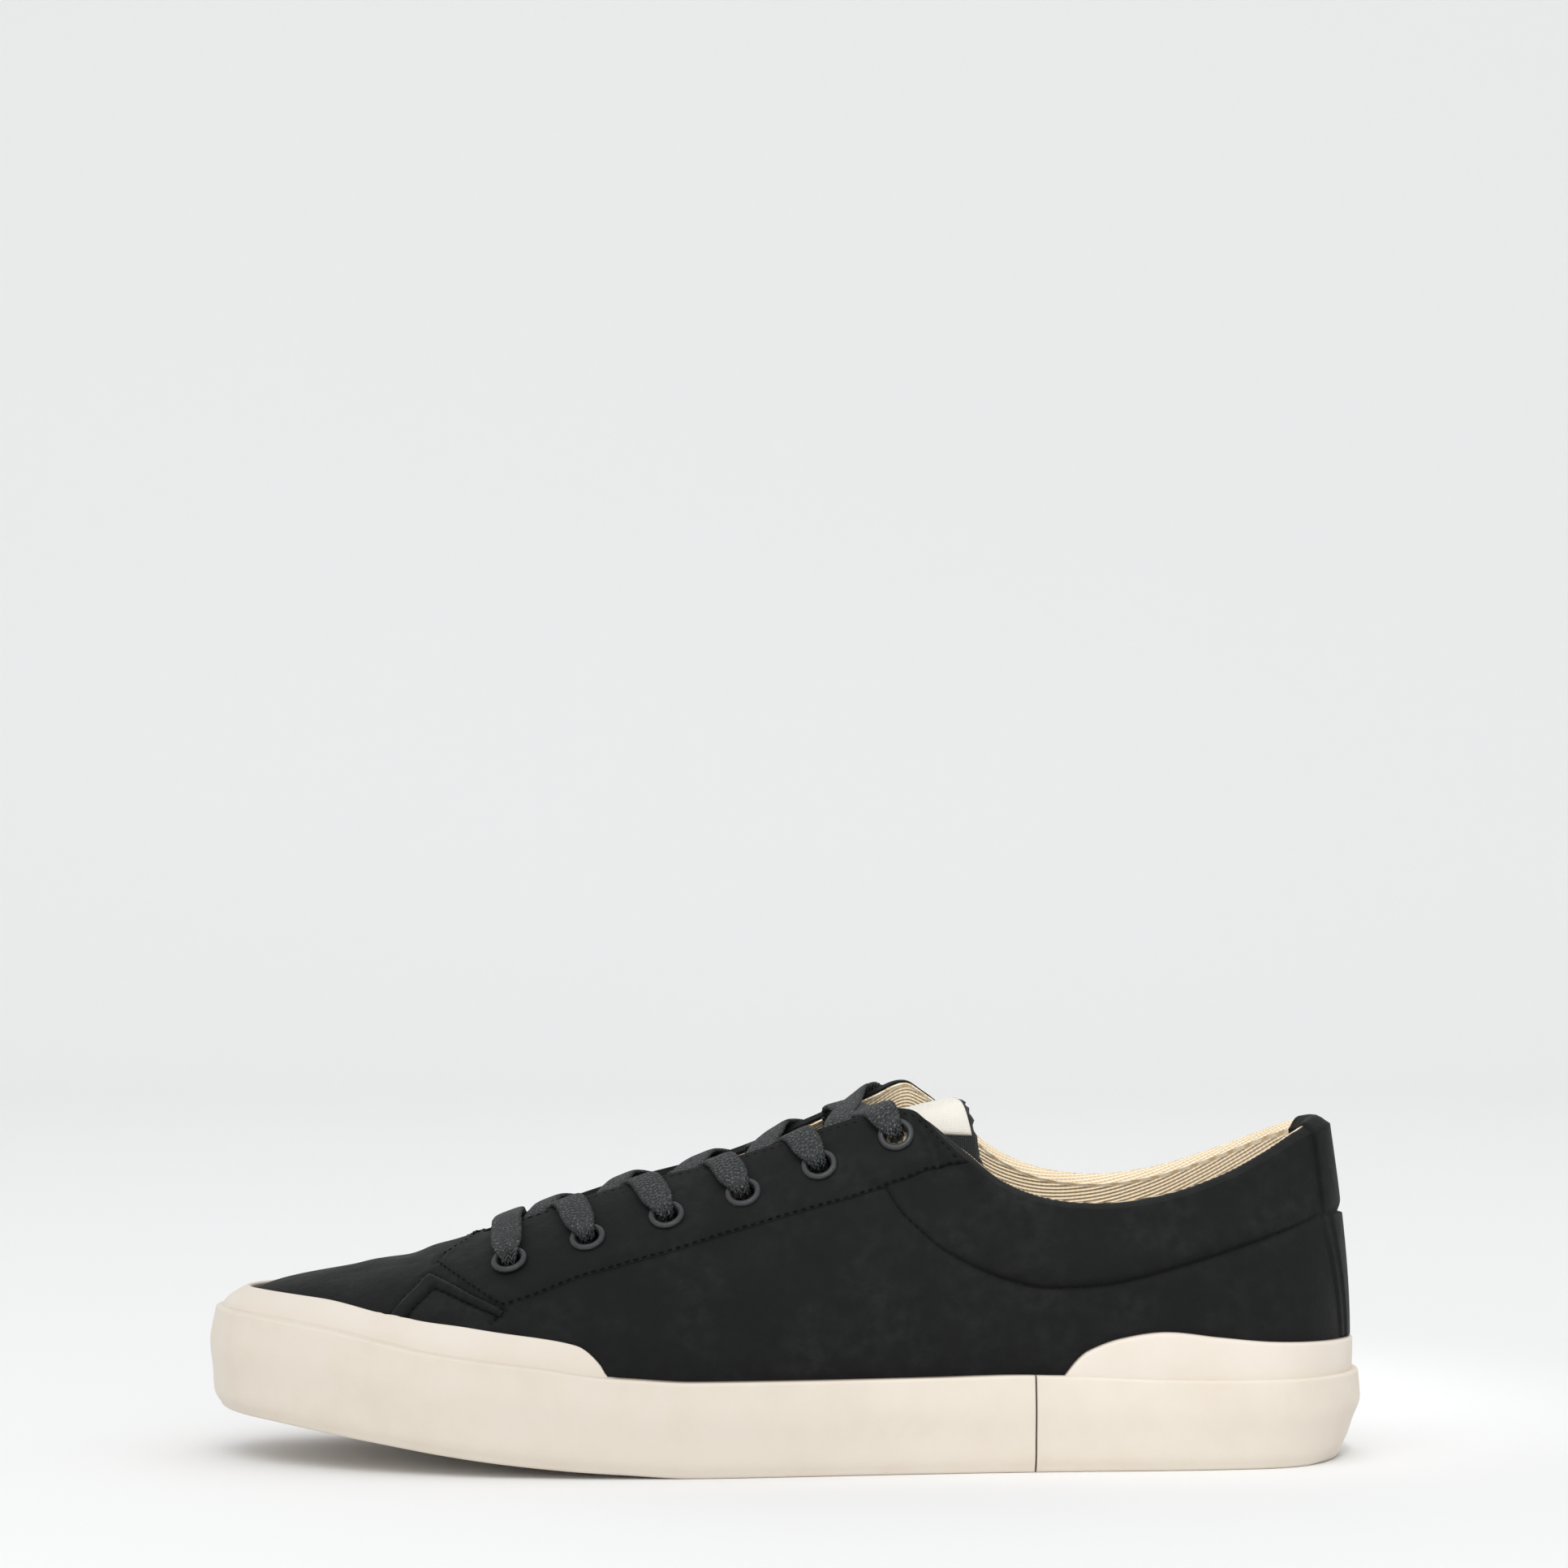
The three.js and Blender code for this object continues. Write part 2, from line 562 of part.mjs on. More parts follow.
// Points of the rolled top edge, from the outer face to the inner face, moved out by grow.
function rimPoints(u, grow = 0) {
  const outer = skin(u, 1, grow);
  const inner = skin(u, 1, -wallThickness(u, 1) - grow);
  const up = wallPoint(u, 1).sub(wallPoint(u, 0.96)).normalize();
  const roll = grow + wallThickness(u, 1) * ROLL_SHARE * openness(u) * (1 + collarShare(u)) / 2;
  return [0, 0.5, 1].map((t) =>
    outer.clone().lerp(inner, t).addScaledVector(up, roll * Math.sin(Math.PI * t)),
  );
}

const OUTER_ROWS = [0, 0.14, 0.28, 0.42, 0.56, 0.7, 0.82, 0.93];
const INNER_ROWS = [0.8, 0.52, 0.25, 0];

// The hollow upper: open at the throat and collar, and underneath where the sole closes it.
function makeUpper() {
  const sectionAt = (u) => {
    const level = (p) => p.setZ(wallPoint(u, 0).z);
    const outer = OUTER_ROWS.map((v) => skin(u, v));
    const inner = INNER_ROWS.map((v) => skin(u, v, -wallThickness(u, v)));
    level(inner.at(-1));
    return { u, points: [...outer, ...rimPoints(u), ...inner] };
  };
  const stations = [...UPPER_STATIONS, ...UPPER_STATIONS.slice(1, -1).reverse().map((u) => -u)];
  const sections = stations.map(sectionAt);
  const rimFrom = OUTER_ROWS.length;
  const faces = [];
  sections.forEach((section, i) => {
    const next = sections[(i + 1) % sections.length];
    const joined = Math.abs(section.u) <= THROAT && Math.abs(next.u) <= THROAT;
    const count = section.points.length;
    for (let j = 0; j < count; j += 1) {
      const k = (j + 1) % count;
      if (joined && j >= rimFrom && j < rimFrom + 2) continue;
      faces.push(...quad(section.points[j], section.points[k], next.points[k], next.points[j]));
    }
  });
  return eyelets.reduce((solid, eyelet) => solid.subtract(eyeletHole(eyelet)), solidOf(faces));
}

// A panel that lies on the upper between two lines, from one station to another.
function panel({ stations, low, high, rows, under, over }) {
  const face = (offset) =>
    stations.map((u) => {
      const foot = crossing(u, low);
      const head = high ? Math.max(foot, crossing(u, high)) : 1;
      return evenly(foot, head, rows).map((v) => skin(u, v, offset));
    });
  return between(face(over), face(under));
}

function makeFacing(side) {
  const foot = liftedLine(side, FACING_FOOT_LINE, FACING_HEIGHT);
  const front = liftedLine(side, FACING_FRONT_LINE, FACING_HEIGHT);
  const tip = locate(side, FACING_FOOT_LINE[0][0] * SOLE_LENGTH, foot).u;
  const tail = locate(side, FACING_FOOT_LINE.at(-1)[0] * SOLE_LENGTH, foot).u;
  const whole = stationsWithin(UPPER_STATIONS, Math.abs(tip), Math.abs(tail));
  const stations = whole
    .flatMap((u, i) => (u <= THROAT && i > 0 ? evenly(whole[i - 1], u, 2).slice(1) : [u]))
    .map((u) => side * u);
  const head = (u) => (Math.abs(u) < THROAT ? crossing(u, front) : 1);
  const face = (offset) =>
    stations.map((u) => {
      const low = crossing(u, foot);
      return evenly(low, Math.max(low, head(u)), 4).map((v) => skin(u, v, offset));
    });
  const leather = between(face(CLEARANCE + FACING_THICKNESS), face(CLEARANCE));
  return eyelets
    .filter((eyelet) => eyelet.side === side)
    .reduce((solid, eyelet) => solid.subtract(eyeletHole(eyelet)), leather);
}

const above = (line, rise, extra = 0) => (x) =>
  foxingTop(x) + rise * through(line, x / SOLE_LENGTH) + extra;

// A guard's layer between two offsets from the upper, out to a slack beyond its ends.
function guardLayer(guard, under, over, slack) {
  const end = locate(1, guard.line.at(guard.end)[0] * SOLE_LENGTH, foxingTop).u;
  const stations = guard.end
    ? stationsWithin(SOLE_STATIONS, -end - slack, end + slack)
    : roundHeel(SOLE_STATIONS, end - slack);
  const spare = slack > 0 ? CLEARANCE : 0;
  return panel({
    stations,
    low: (x) => foxingTop(x) - GUARD_TUCK - spare,
    high: (x) => Math.max(above(guard.line, guard.rise)(x), spare && foxingTop(x)) + spare,
    rows: 4,
    under,
    over,
  });
}

// Each guard's line, its rise above the sidewall and which point of the line is its end.
const TOE_GUARD = { line: TOE_GUARD_LINE, rise: TOE_GUARD_RISE, end: -1 };
const HEEL_GUARD = { line: HEEL_GUARD_LINE, rise: HEEL_GUARD_RISE, end: 0 };
const makeGuard = (guard) => guardLayer(guard, CLEARANCE, CLEARANCE + GUARD_THICKNESS, 0);

// The room that a guard needs between the upper and the sidewall.
const guardRoom = (guard) => guardLayer(guard, -CLEARANCE, 2 * CLEARANCE + GUARD_THICKNESS, 0.06);

// Across a sole piece's outline: from the outer side's edge to the inner side's edge.
function crossRow(u, offset, columns, heightAt) {
  const [near, far] = [solePoint(-u, offset).place, solePoint(u, offset).place];
  return evenly(0, 1, columns).map((t) => {
    const p = near.clone().lerp(far, t);
    return p.setZ(heightAt(p, t));
  });
}

// How far the sidewall's face stands in from its fullest line, by height, as shares of
// its rounding along the sides and toe and of its rounding at the back of the heel.
const FOXING_FACE = table(
  ['share', 'inset', 'heel'],
  [[0, 1, 1], [0.1, 0.45, 0.76], [0.35, 0.25, 0.42], [0.65, 0, 0], [1, 0.5, 0.1]],
);
const FOXING_JOINT = 0.2125;

// The sidewall's section at station u: up its outer face and down against the upper.
function foxingRing(u) {
  const round = FOXING_ROUND + (TOE_ROUND - FOXING_ROUND) * (1 - smoothStep(Math.abs(u) / 4));
  const heelward = smoothStep((Math.abs(u) - 17) / 5);
  const face = FOXING_FACE.map(({ share, inset, heel }) => {
    const p = solePoint(u, -inset * round * (1 - heelward) - heel * HEEL_ROUND * heelward).place;
    return p.setZ(underHeight(p.x) * (1 - share) + foxingTop(p.x) * share);
  });
  const head = crossing(u, foxingTop);
  const back = [head, head / 2, 0].map((v) => skin(u, v, CLEARANCE));
  const foot = [FOXING_WALL - CLEARANCE].map((inset) => {
    const p = solePoint(u, -inset).place;
    return p.setZ(underHeight(p.x));
  });
  back[0].z = foxingTop(back[0].x);
  return [...face, ...back, ...foot];
}

function makeFoxing() {
  const end = locate(1, FOXING_JOINT * SOLE_LENGTH, foxingTop).u;
  return sweep(stationsWithin(SOLE_STATIONS, -end, end).map(foxingRing)).subtract(guardRoom(TOE_GUARD));
}

function makeHeelFoxing() {
  const from = locate(1, FOXING_JOINT * SOLE_LENGTH + CLEARANCE, foxingTop).u;
  return sweep(roundHeel(SOLE_STATIONS, from).map(foxingRing)).subtract(guardRoom(HEEL_GUARD));
}

// A chevron groove of the tread, its point towards the toe.
function treadGroove(x) {
  const arm = BALL_WIDTH;
  const outline = new THREE.Shape();
  outline.moveTo(0, 0);
  outline.lineTo(arm / 4, arm / 2);
  outline.lineTo(arm / 4 + GROOVE_WIDTH, arm / 2);
  outline.lineTo(GROOVE_WIDTH, 0);
  outline.lineTo(arm / 4 + GROOVE_WIDTH, -arm / 2);
  outline.lineTo(arm / 4, -arm / 2);
  const depth = TOE_SPRING + HEEL_BEVEL + 4 * GROOVE_DEPTH;
  const cutter = new THREE.ExtrudeGeometry(outline, { depth, bevelEnabled: false });
  cutter.translate(x, BALL_WIDTH * TOP_MIDDLE[0][1], -2 * GROOVE_DEPTH);
  return fromGeometry(cutter);
}

// The flat outsole inside the sidewall, with a grooved tread inside a plain border.
function makeOutsole() {
  const rows = (heightAt) =>
    SOLE_STATIONS.map((u) => crossRow(u, -FOXING_WALL, 1, (p) => heightAt(p.x)));
  const body = between(rows(outsoleTop), rows(underHeight));
  const inset = FOXING_WALL + TREAD_BORDER;
  const treadStations = SOLE_STATIONS.filter((u) => u >= 2 && u <= HEEL - 2 && Number.isInteger(u));
  const treadRows = (heightAt) =>
    treadStations.map((u) => crossRow(u, -inset, 1, (p) => heightAt(p.x)));
  const field = between(
    treadRows((x) => underHeight(x) + GROOVE_DEPTH),
    treadRows((x) => underHeight(x) - GROOVE_DEPTH),
  );
  const count = Math.floor(SOLE_LENGTH / GROOVE_PITCH);
  const grooves = evenly(0, count - 1, count - 1)
    .map((i) => treadGroove(-SOLE_LENGTH / 2 + i * GROOVE_PITCH))
    .reduce((all, groove) => all.add(groove));
  return body.subtract(field.intersect(grooves));
}

// The insole lies on the outsole inside the upper, dished a little and raised at the arch.
function makeInsole() {
  const inset = FOXING_WALL + UPPER_WALL + 4 * CLEARANCE;
  const stations = SOLE_STATIONS.filter((u) => Number.isInteger(u));
  const under = stations.map((u) => crossRow(u, -inset, 4, (p) => outsoleTop(p.x) + CLEARANCE));
  const over = stations.map((u) =>
    crossRow(u, -inset, 4, (p, t) => {
      const dish = (2 * t - 1) ** 2 * ARCH_DISH * Math.sin((Math.PI * u) / HEEL);
      const arch = ARCH_RISE * smoothStep((t - 0.4) / 0.6) * smoothStep(1 - Math.abs(u - ARCH_STATION) / 6);
      return outsoleTop(p.x) + CLEARANCE + INSOLE_THICKNESS + dish + arch;
    }),
  );
  return between(over, under);
}

// The tongue's face at row s and share w across it. Rows up to FACING_TOP follow the
// upper's stations, and one more row carries it on past the facings. Towards its end it
// lies level, under the inner side's higher edge.
function tonguePoint(s, w, depth = 0) {
  const u = Math.min(s, FACING_TOP);
  const past = s - u;
  const deep = -(UPPER_WALL + LACE_THICKNESS + 6 * CLEARANCE + depth);
  const anchors = [[-u, TONGUE_TUCK], [-u, 1], [u, 1], [u, TONGUE_TUCK]];
  const [a, b, c, d] = anchors.map(([at, v]) => skin(at, v, deep));
  for (const inner of [c, d]) inner.z -= TONGUE_LEVEL * smoothStep((u - 7) / 3);
  const crown = b.clone().lerp(c, 0.5);
  crown.z += b.distanceTo(c) * TONGUE_CROWN;
  const point = new THREE.CatmullRomCurve3([a, b, crown, c, d]).getPoint(w);
  const middle = (b.y + c.y) / 2;
  point.x += past * (TONGUE_REACH + TONGUE_SWEEP * Math.abs(2 * w - 1));
  point.z += past * (TONGUE_LIFT - TONGUE_DROOP * smoothStep((Math.abs(2 * w - 1) - 0.3) / 0.7));
  point.y = middle + (point.y - middle) * (1 - TONGUE_TAPER * past);
  return point;
}

const tongueFace = (rows, across, depth) =>
  rows.map((s) => across.map((w) => tonguePoint(s, w, depth)));
const TONGUE_ROWS = [
  3.7, 4.35, ...evenly(THROAT, FACING_TOP, 6),
  ...[0.35, 0.7, 1].map((past) => FACING_TOP + past),
];
const TONGUE_COLUMNS = evenly(0, 1, 8);

const makeTongue = () =>
  between(
    tongueFace(TONGUE_ROWS, TONGUE_COLUMNS, 0),
    tongueFace(TONGUE_ROWS, TONGUE_COLUMNS, TONGUE_THICKNESS),
  );

function makeLabel() {
  const end = FACING_TOP + 1 - LABEL_MARGIN / TONGUE_REACH;
  const rows = evenly(FACING_TOP + 0.02, end, 3);
  const across = evenly(LABEL_SIDE, 1 - LABEL_SIDE, 6);
  return between(
    tongueFace(rows, across, -1.5 * CLEARANCE - LABEL_THICKNESS),
    tongueFace(rows, across, -1.5 * CLEARANCE),
  );
}

// The station beside the heel where the wall stands a half width from the middle.
function heelStation(halfWidth) {
  let [low, high] = [16, HEEL];
  for (let i = 0; i < 24; i += 1) {
    const u = (low + high) / 2;
    if (wallPoint(u, 0.6).y - BALL_WIDTH * TOP_MIDDLE.at(-1)[1] > halfWidth) low = u;
    else high = u;
  }
  return (low + high) / 2;
}

// The tab folds over the collar's top edge at the heel and down inside it.
function makeHeelTab() {
  const layer = (u, grow) => {
    const foot = crossing(u, () => TAB_FOOT_HEIGHT);
    const outside = evenly(foot, 1, 4).slice(0, -1).map((v) => skin(u, v, grow));
    const innerRows = [(1 + TAB_INNER_SHARE) / 2, TAB_INNER_SHARE];
    const inside = innerRows.map((v) => skin(u, v, -wallThickness(u, v) - grow));
    return [...outside, ...rimPoints(u, grow), ...inside];
  };
  const rings = roundHeel(UPPER_STATIONS, heelStation(TAB_HALF_WIDTH)).map((u) => [
    ...layer(u, CLEARANCE + TAB_THICKNESS),
    ...layer(u, CLEARANCE).reverse(),
  ]);
  return sweep(rings);
}

// The strip keeps its width from the tab down to the guard.
function makeHeelStrip() {
  const middle = middleLine(HEEL);
  const column = (y, t) => {
    const heightAt = (x) => {
      const foot = above(HEEL_GUARD_LINE, HEEL_GUARD_RISE, CLEARANCE)(x);
      return foot + (TAB_FOOT_HEIGHT - CLEARANCE - foot) * t;
    };
    const side = y < 0 ? -1 : 1;
    let [low, high] = [17, HEEL];
    for (let i = 0; i < 20; i += 1) {
      const u = (low + high) / 2;
      if (side * (wallPoint(side * u, crossing(side * u, heightAt)).y - middle) > side * y) low = u;
      else high = u;
    }
    const u = (side * (low + high)) / 2;
    return { u, v: crossing(u, heightAt) };
  };
  const spots = evenly(0, 1, 6).map((t) =>
    evenly(-STRIP_HALF_WIDTH, STRIP_HALF_WIDTH, 6).map((y) => column(y, t)),
  );
  const face = (offset) => spots.map((row) => row.map(({ u, v }) => skin(u, v, offset)));
  return between(face(CLEARANCE + STRIP_THICKNESS), face(CLEARANCE));
}

// A flat lace through stops, each with its place, its width's direction and its width.
function makeStrap(stops, steps) {
  const spine = new THREE.CatmullRomCurve3(stops.map((stop) => stop.place), false, 'centripetal');
  const last = stops.length - 1;
  const rings = evenly(0, 1, steps).map((t) => {
    const at = Math.min(last - 1e-6, t * last);
    const [from, to] = [stops[Math.floor(at)], stops[Math.floor(at) + 1]];
    const share = at - Math.floor(at);
    const tangent = spine.getTangent(t);
    const across = from.across.clone().lerp(to.across, share);
    across.addScaledVector(tangent, -across.dot(tangent)).normalize();
    const thick = tangent.clone().cross(across);
    const half = (from.width + (to.width - from.width) * share) / 2;
    const centre = spine.getPoint(t);
    return [[-1, -1], [1, -1], [1, 1], [-1, 1]].map(([i, j]) =>
      centre.clone().addScaledVector(across, i * half).addScaledVector(thick, (j * LACE_THICKNESS) / 2),
    );
  });
  return sweep(rings);
}

// A stop whose width points the same way as a line.
const faced = (stop, line) =>
  stop.across.dot(line) < 0 ? { ...stop, across: stop.across.clone().negate() } : stop;

const eyeletOf = (side, number) => eyelets.find((e) => e.side === side && e.number === number);
const faceLift = 2 * CLEARANCE + FACING_THICKNESS;
const overFacing = faceLift + CLEARANCE + LACE_THICKNESS / 2;
const overFlange = overFacing + EYELET_FLANGE;

// The direction straight out of the throat, beside station u.
function throatNormal(u) {
  const [behind, ahead] = [-0.3, 0.3].map((step) => crest(Math.abs(u) + step));
  return new THREE.Vector3(behind.z - ahead.z, 0, ahead.x - behind.x).normalize();
}

// The last stops of a strap: over the facing's edge, over the flange and into the bore.
function landing(eyelet, edgeU) {
  const centre = skin(eyelet.u, eyelet.v);
  const normal = wallNormal(eyelet.u, eyelet.v);
  const edge = skin(edgeU, 1, overFacing + LACE_HOVER * CLEARANCE);
  const back = edge.clone().sub(centre);
  back.addScaledVector(normal, -back.dot(normal)).normalize();
  const across = normal.clone().cross(back).normalize();
  const stop = (reach, lift, width) => ({
    place: centre.clone().addScaledVector(back, reach).addScaledVector(normal, lift),
    across,
    width,
  });
  const overEdge = wallNormal(edgeU, 1).add(throatNormal(edgeU));
  return [
    { place: edge, across: overEdge.cross(back).normalize(), width: LACE_WIDTH },
    stop(EYELET_RADIUS * 0.85, overFlange + CLEARANCE, LACE_WIDTH * 0.85),
    stop(EYELET_RADIUS * 0.3, overFlange, LACE_WIDTH * 0.6),
    stop(0, faceLift + EYELET_FLANGE / 2, EYELET_BORE * 1.3),
    stop(0, -CLEARANCE, EYELET_BORE * 1.3),
  ];
}

// A strap comes up beside one eyelet inside the throat, crosses the middle and goes over
// the other side's facing into its next eyelet.
function crossingStrap(side, number) {
  const from = eyeletOf(side, number);
  const to = eyeletOf(-side, number + 1);
  const gain = Math.abs(to.u) - Math.abs(from.u);
  const rise = from.u + side * gain * LACE_RISE;
  const edgeU = -side * (Math.abs(from.u) + gain * LACE_EDGE);
  const stops = landing(to, edgeU);
  const under = -(UPPER_WALL + 2 * CLEARANCE + LACE_THICKNESS / 2);
  const hidden = skin(rise, 0.97, under);
  const lip = skin(rise, 1, under);
  const inward = lip.clone().sub(hidden).normalize();
  lip.addScaledVector(inward, LACE_INWARD * LACE_THICKNESS);
  const middle = lip.clone().lerp(stops[0].place, 0.52);
  middle.z += side * LACE_THICKNESS * LACE_OVERLAP + LACE_HUMP;
  const line = stops[0].place.clone().sub(hidden).cross(throatNormal(from.u)).normalize();
  const along = wallNormal(rise, 1).cross(inward);
  const start = [hidden, lip].map((place) => ({ place, across: along, width: LACE_WIDTH }));
  const all = [...start, { place: middle, across: line, width: LACE_WIDTH }, ...stops];
  return makeStrap(all.map((stop) => faced(stop, line)), 11);
}

const makeCrossing = (number) => crossingStrap(-1, number).add(crossingStrap(1, number));

// The bar runs straight over the throat's front, into both of the first eyelets.
function makeBar() {
  const arms = [-1, 1].map((side) => {
    const eyelet = eyeletOf(side, 1);
    return landing(eyelet, eyelet.u - side * 0.1);
  });
  const middle = arms[0][0].place.clone().lerp(arms[1][0].place, 0.5);
  middle.z += LACE_THICKNESS;
  const line = new THREE.Vector3(0, 1, 0).cross(throatNormal(eyeletOf(1, 1).u));
  const top = { place: middle, across: line, width: LACE_WIDTH };
  const all = [...[...arms[0]].reverse(), top, ...arms[1]];
  return makeStrap(all.map((stop) => faced(stop, line)), 16);
}

const sideNames = { '-1': 'lateral', 1: 'medial' };
const trainer = new THREE.Group();
const add = (name, solid, material) => trainer.add(meshOf(name, solid, material));

add('outsole', makeOutsole(), rubber);
add('foxing', makeFoxing(), rubber);
add('heel_foxing', makeHeelFoxing(), rubber);
add('toe_guard', makeGuard(TOE_GUARD), rubber);
add('heel_guard', makeGuard(HEEL_GUARD), rubber);
add('upper', makeUpper(), suede);
for (const side of [-1, 1]) add(`facing_${sideNames[side]}`, makeFacing(side), suede);
add('heel_tab', makeHeelTab(), suede);
add('heel_strip', makeHeelStrip(), suede);
add('tongue', makeTongue(), weave);
add('tongue_label', makeLabel(), labelCloth);
add('insole', makeInsole(), canvas);
for (const eyelet of eyelets) {
  add(`eyelet_${sideNames[eyelet.side]}_${eyelet.number}`, makeEyelet(eyelet), paintedMetal);
}
add('lace_bar', makeBar(), weave);
for (const number of evenly(1, EYELETS_PER_SIDE - 1, EYELETS_PER_SIDE - 2)) {
  add(`lace_crossing_${number}`, makeCrossing(number), weave);
}

export default trainer;
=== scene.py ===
"""A low-top lace-up trainer for the left foot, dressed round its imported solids.

Metres, +Z up. The toe points along -X, the outer side of the foot along -Y, and the origin is
on the floor under the middle of the shoe. Every piece is laid on the same last as the solids.
"""

import logging
import math
from contextlib import contextmanager
from dataclasses import dataclass
from enum import Enum
from typing import Callable, Iterator, Optional, Sequence

import bpy
import numpy as np
from mathutils import Matrix, Vector


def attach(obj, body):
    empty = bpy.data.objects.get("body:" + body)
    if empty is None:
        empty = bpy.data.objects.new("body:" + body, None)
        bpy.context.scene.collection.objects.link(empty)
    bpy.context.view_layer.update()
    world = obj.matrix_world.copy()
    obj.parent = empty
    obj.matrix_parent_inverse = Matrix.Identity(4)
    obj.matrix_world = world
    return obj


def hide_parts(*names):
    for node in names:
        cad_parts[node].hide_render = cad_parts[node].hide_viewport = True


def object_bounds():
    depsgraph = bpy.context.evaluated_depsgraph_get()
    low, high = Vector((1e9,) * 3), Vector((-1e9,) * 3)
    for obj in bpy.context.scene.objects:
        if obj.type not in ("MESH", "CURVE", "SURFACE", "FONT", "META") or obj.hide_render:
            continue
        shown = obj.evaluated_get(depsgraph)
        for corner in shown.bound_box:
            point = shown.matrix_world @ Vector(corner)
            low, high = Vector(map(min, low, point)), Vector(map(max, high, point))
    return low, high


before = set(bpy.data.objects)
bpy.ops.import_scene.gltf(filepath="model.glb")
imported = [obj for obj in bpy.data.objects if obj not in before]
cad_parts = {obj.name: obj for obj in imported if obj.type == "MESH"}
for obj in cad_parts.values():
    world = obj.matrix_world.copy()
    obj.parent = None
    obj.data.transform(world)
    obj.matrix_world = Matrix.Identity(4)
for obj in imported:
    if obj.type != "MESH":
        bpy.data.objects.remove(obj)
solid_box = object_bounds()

log = logging.getLogger("trainer")

Array = np.ndarray
Line = tuple[tuple[float, float], ...]
HeightAt = Callable[[Array], Array]
Place = tuple[float, float, float]
Color = tuple[float, float, float, float]
Marks = Optional[dict[str, Array]]
Piece = bpy.types.Object
Finish = bpy.types.Material
Socket = bpy.types.NodeSocket

BODY = "root"
HALVINGS = 24


@dataclass(frozen=True)
class Sizes:
    """Driving sizes of the shoe in metres.

    Its solids have the same, but for a thicker facing and heel tab and a narrower heel strip.
    """

    sole_length: float = 0.296
    ball_width: float = 0.107
    waist_width: float = 0.080
    heel_width: float = 0.0782
    toe_spring: float = 0.0123
    heel_bevel: float = 0.0025
    foxing_height: float = 0.024
    throat_height: float = 0.057
    facing_height: float = 0.0893
    collar_dip: float = 0.0652
    heel_height: float = 0.0846
    inner_side_lift: float = 0.0055
    throat_gap: float = 0.035
    collar_width: float = 0.064
    clearance: float = 0.0003
    upper_wall: float = 0.002
    collar_wall: float = 0.006
    collar_swell: float = 0.0013
    foxing_wall: float = 0.0052
    foxing_round: float = 0.0015
    toe_round: float = 0.0028
    heel_round: float = 0.0046
    outsole_thickness: float = 0.009
    insole_thickness: float = 0.004
    facing_thickness: float = 0.0007
    guard_thickness: float = 0.0016
    guard_tuck: float = 0.006
    toe_guard_rise: float = 0.008
    heel_guard_rise: float = 0.0115
    tongue_thickness: float = 0.003
    tongue_reach: float = 0.012
    tongue_sweep: float = 0.007
    tongue_lift: float = 0.003
    tongue_droop: float = 0.006
    label_thickness: float = 0.0006
    label_margin: float = 0.0012
    groove_depth: float = 0.0016
    groove_width: float = 0.005
    groove_pitch: float = 0.024
    tread_border: float = 0.007
    tab_thickness: float = 0.0009
    tab_half_width: float = 0.014
    tab_foot_height: float = 0.062
    strip_thickness: float = 0.001
    strip_half_width: float = 0.013
    eyelet_radius: float = 0.0046
    eyelet_bore: float = 0.0028
    eyelet_barrel: float = 0.0033
    eyelet_flange: float = 0.0009
    lace_width: float = 0.008
    lace_thickness: float = 0.0016
    lace_hump: float = 0.001
    arch_rise: float = 0.003
    arch_dish: float = 0.0015


class Side(Enum):
    """The two sides of the foot, as the sign of a station on each."""

    OUTER = -1
    INNER = 1


SIDE_NAMES = {Side.OUTER: "lateral", Side.INNER: "medial"}

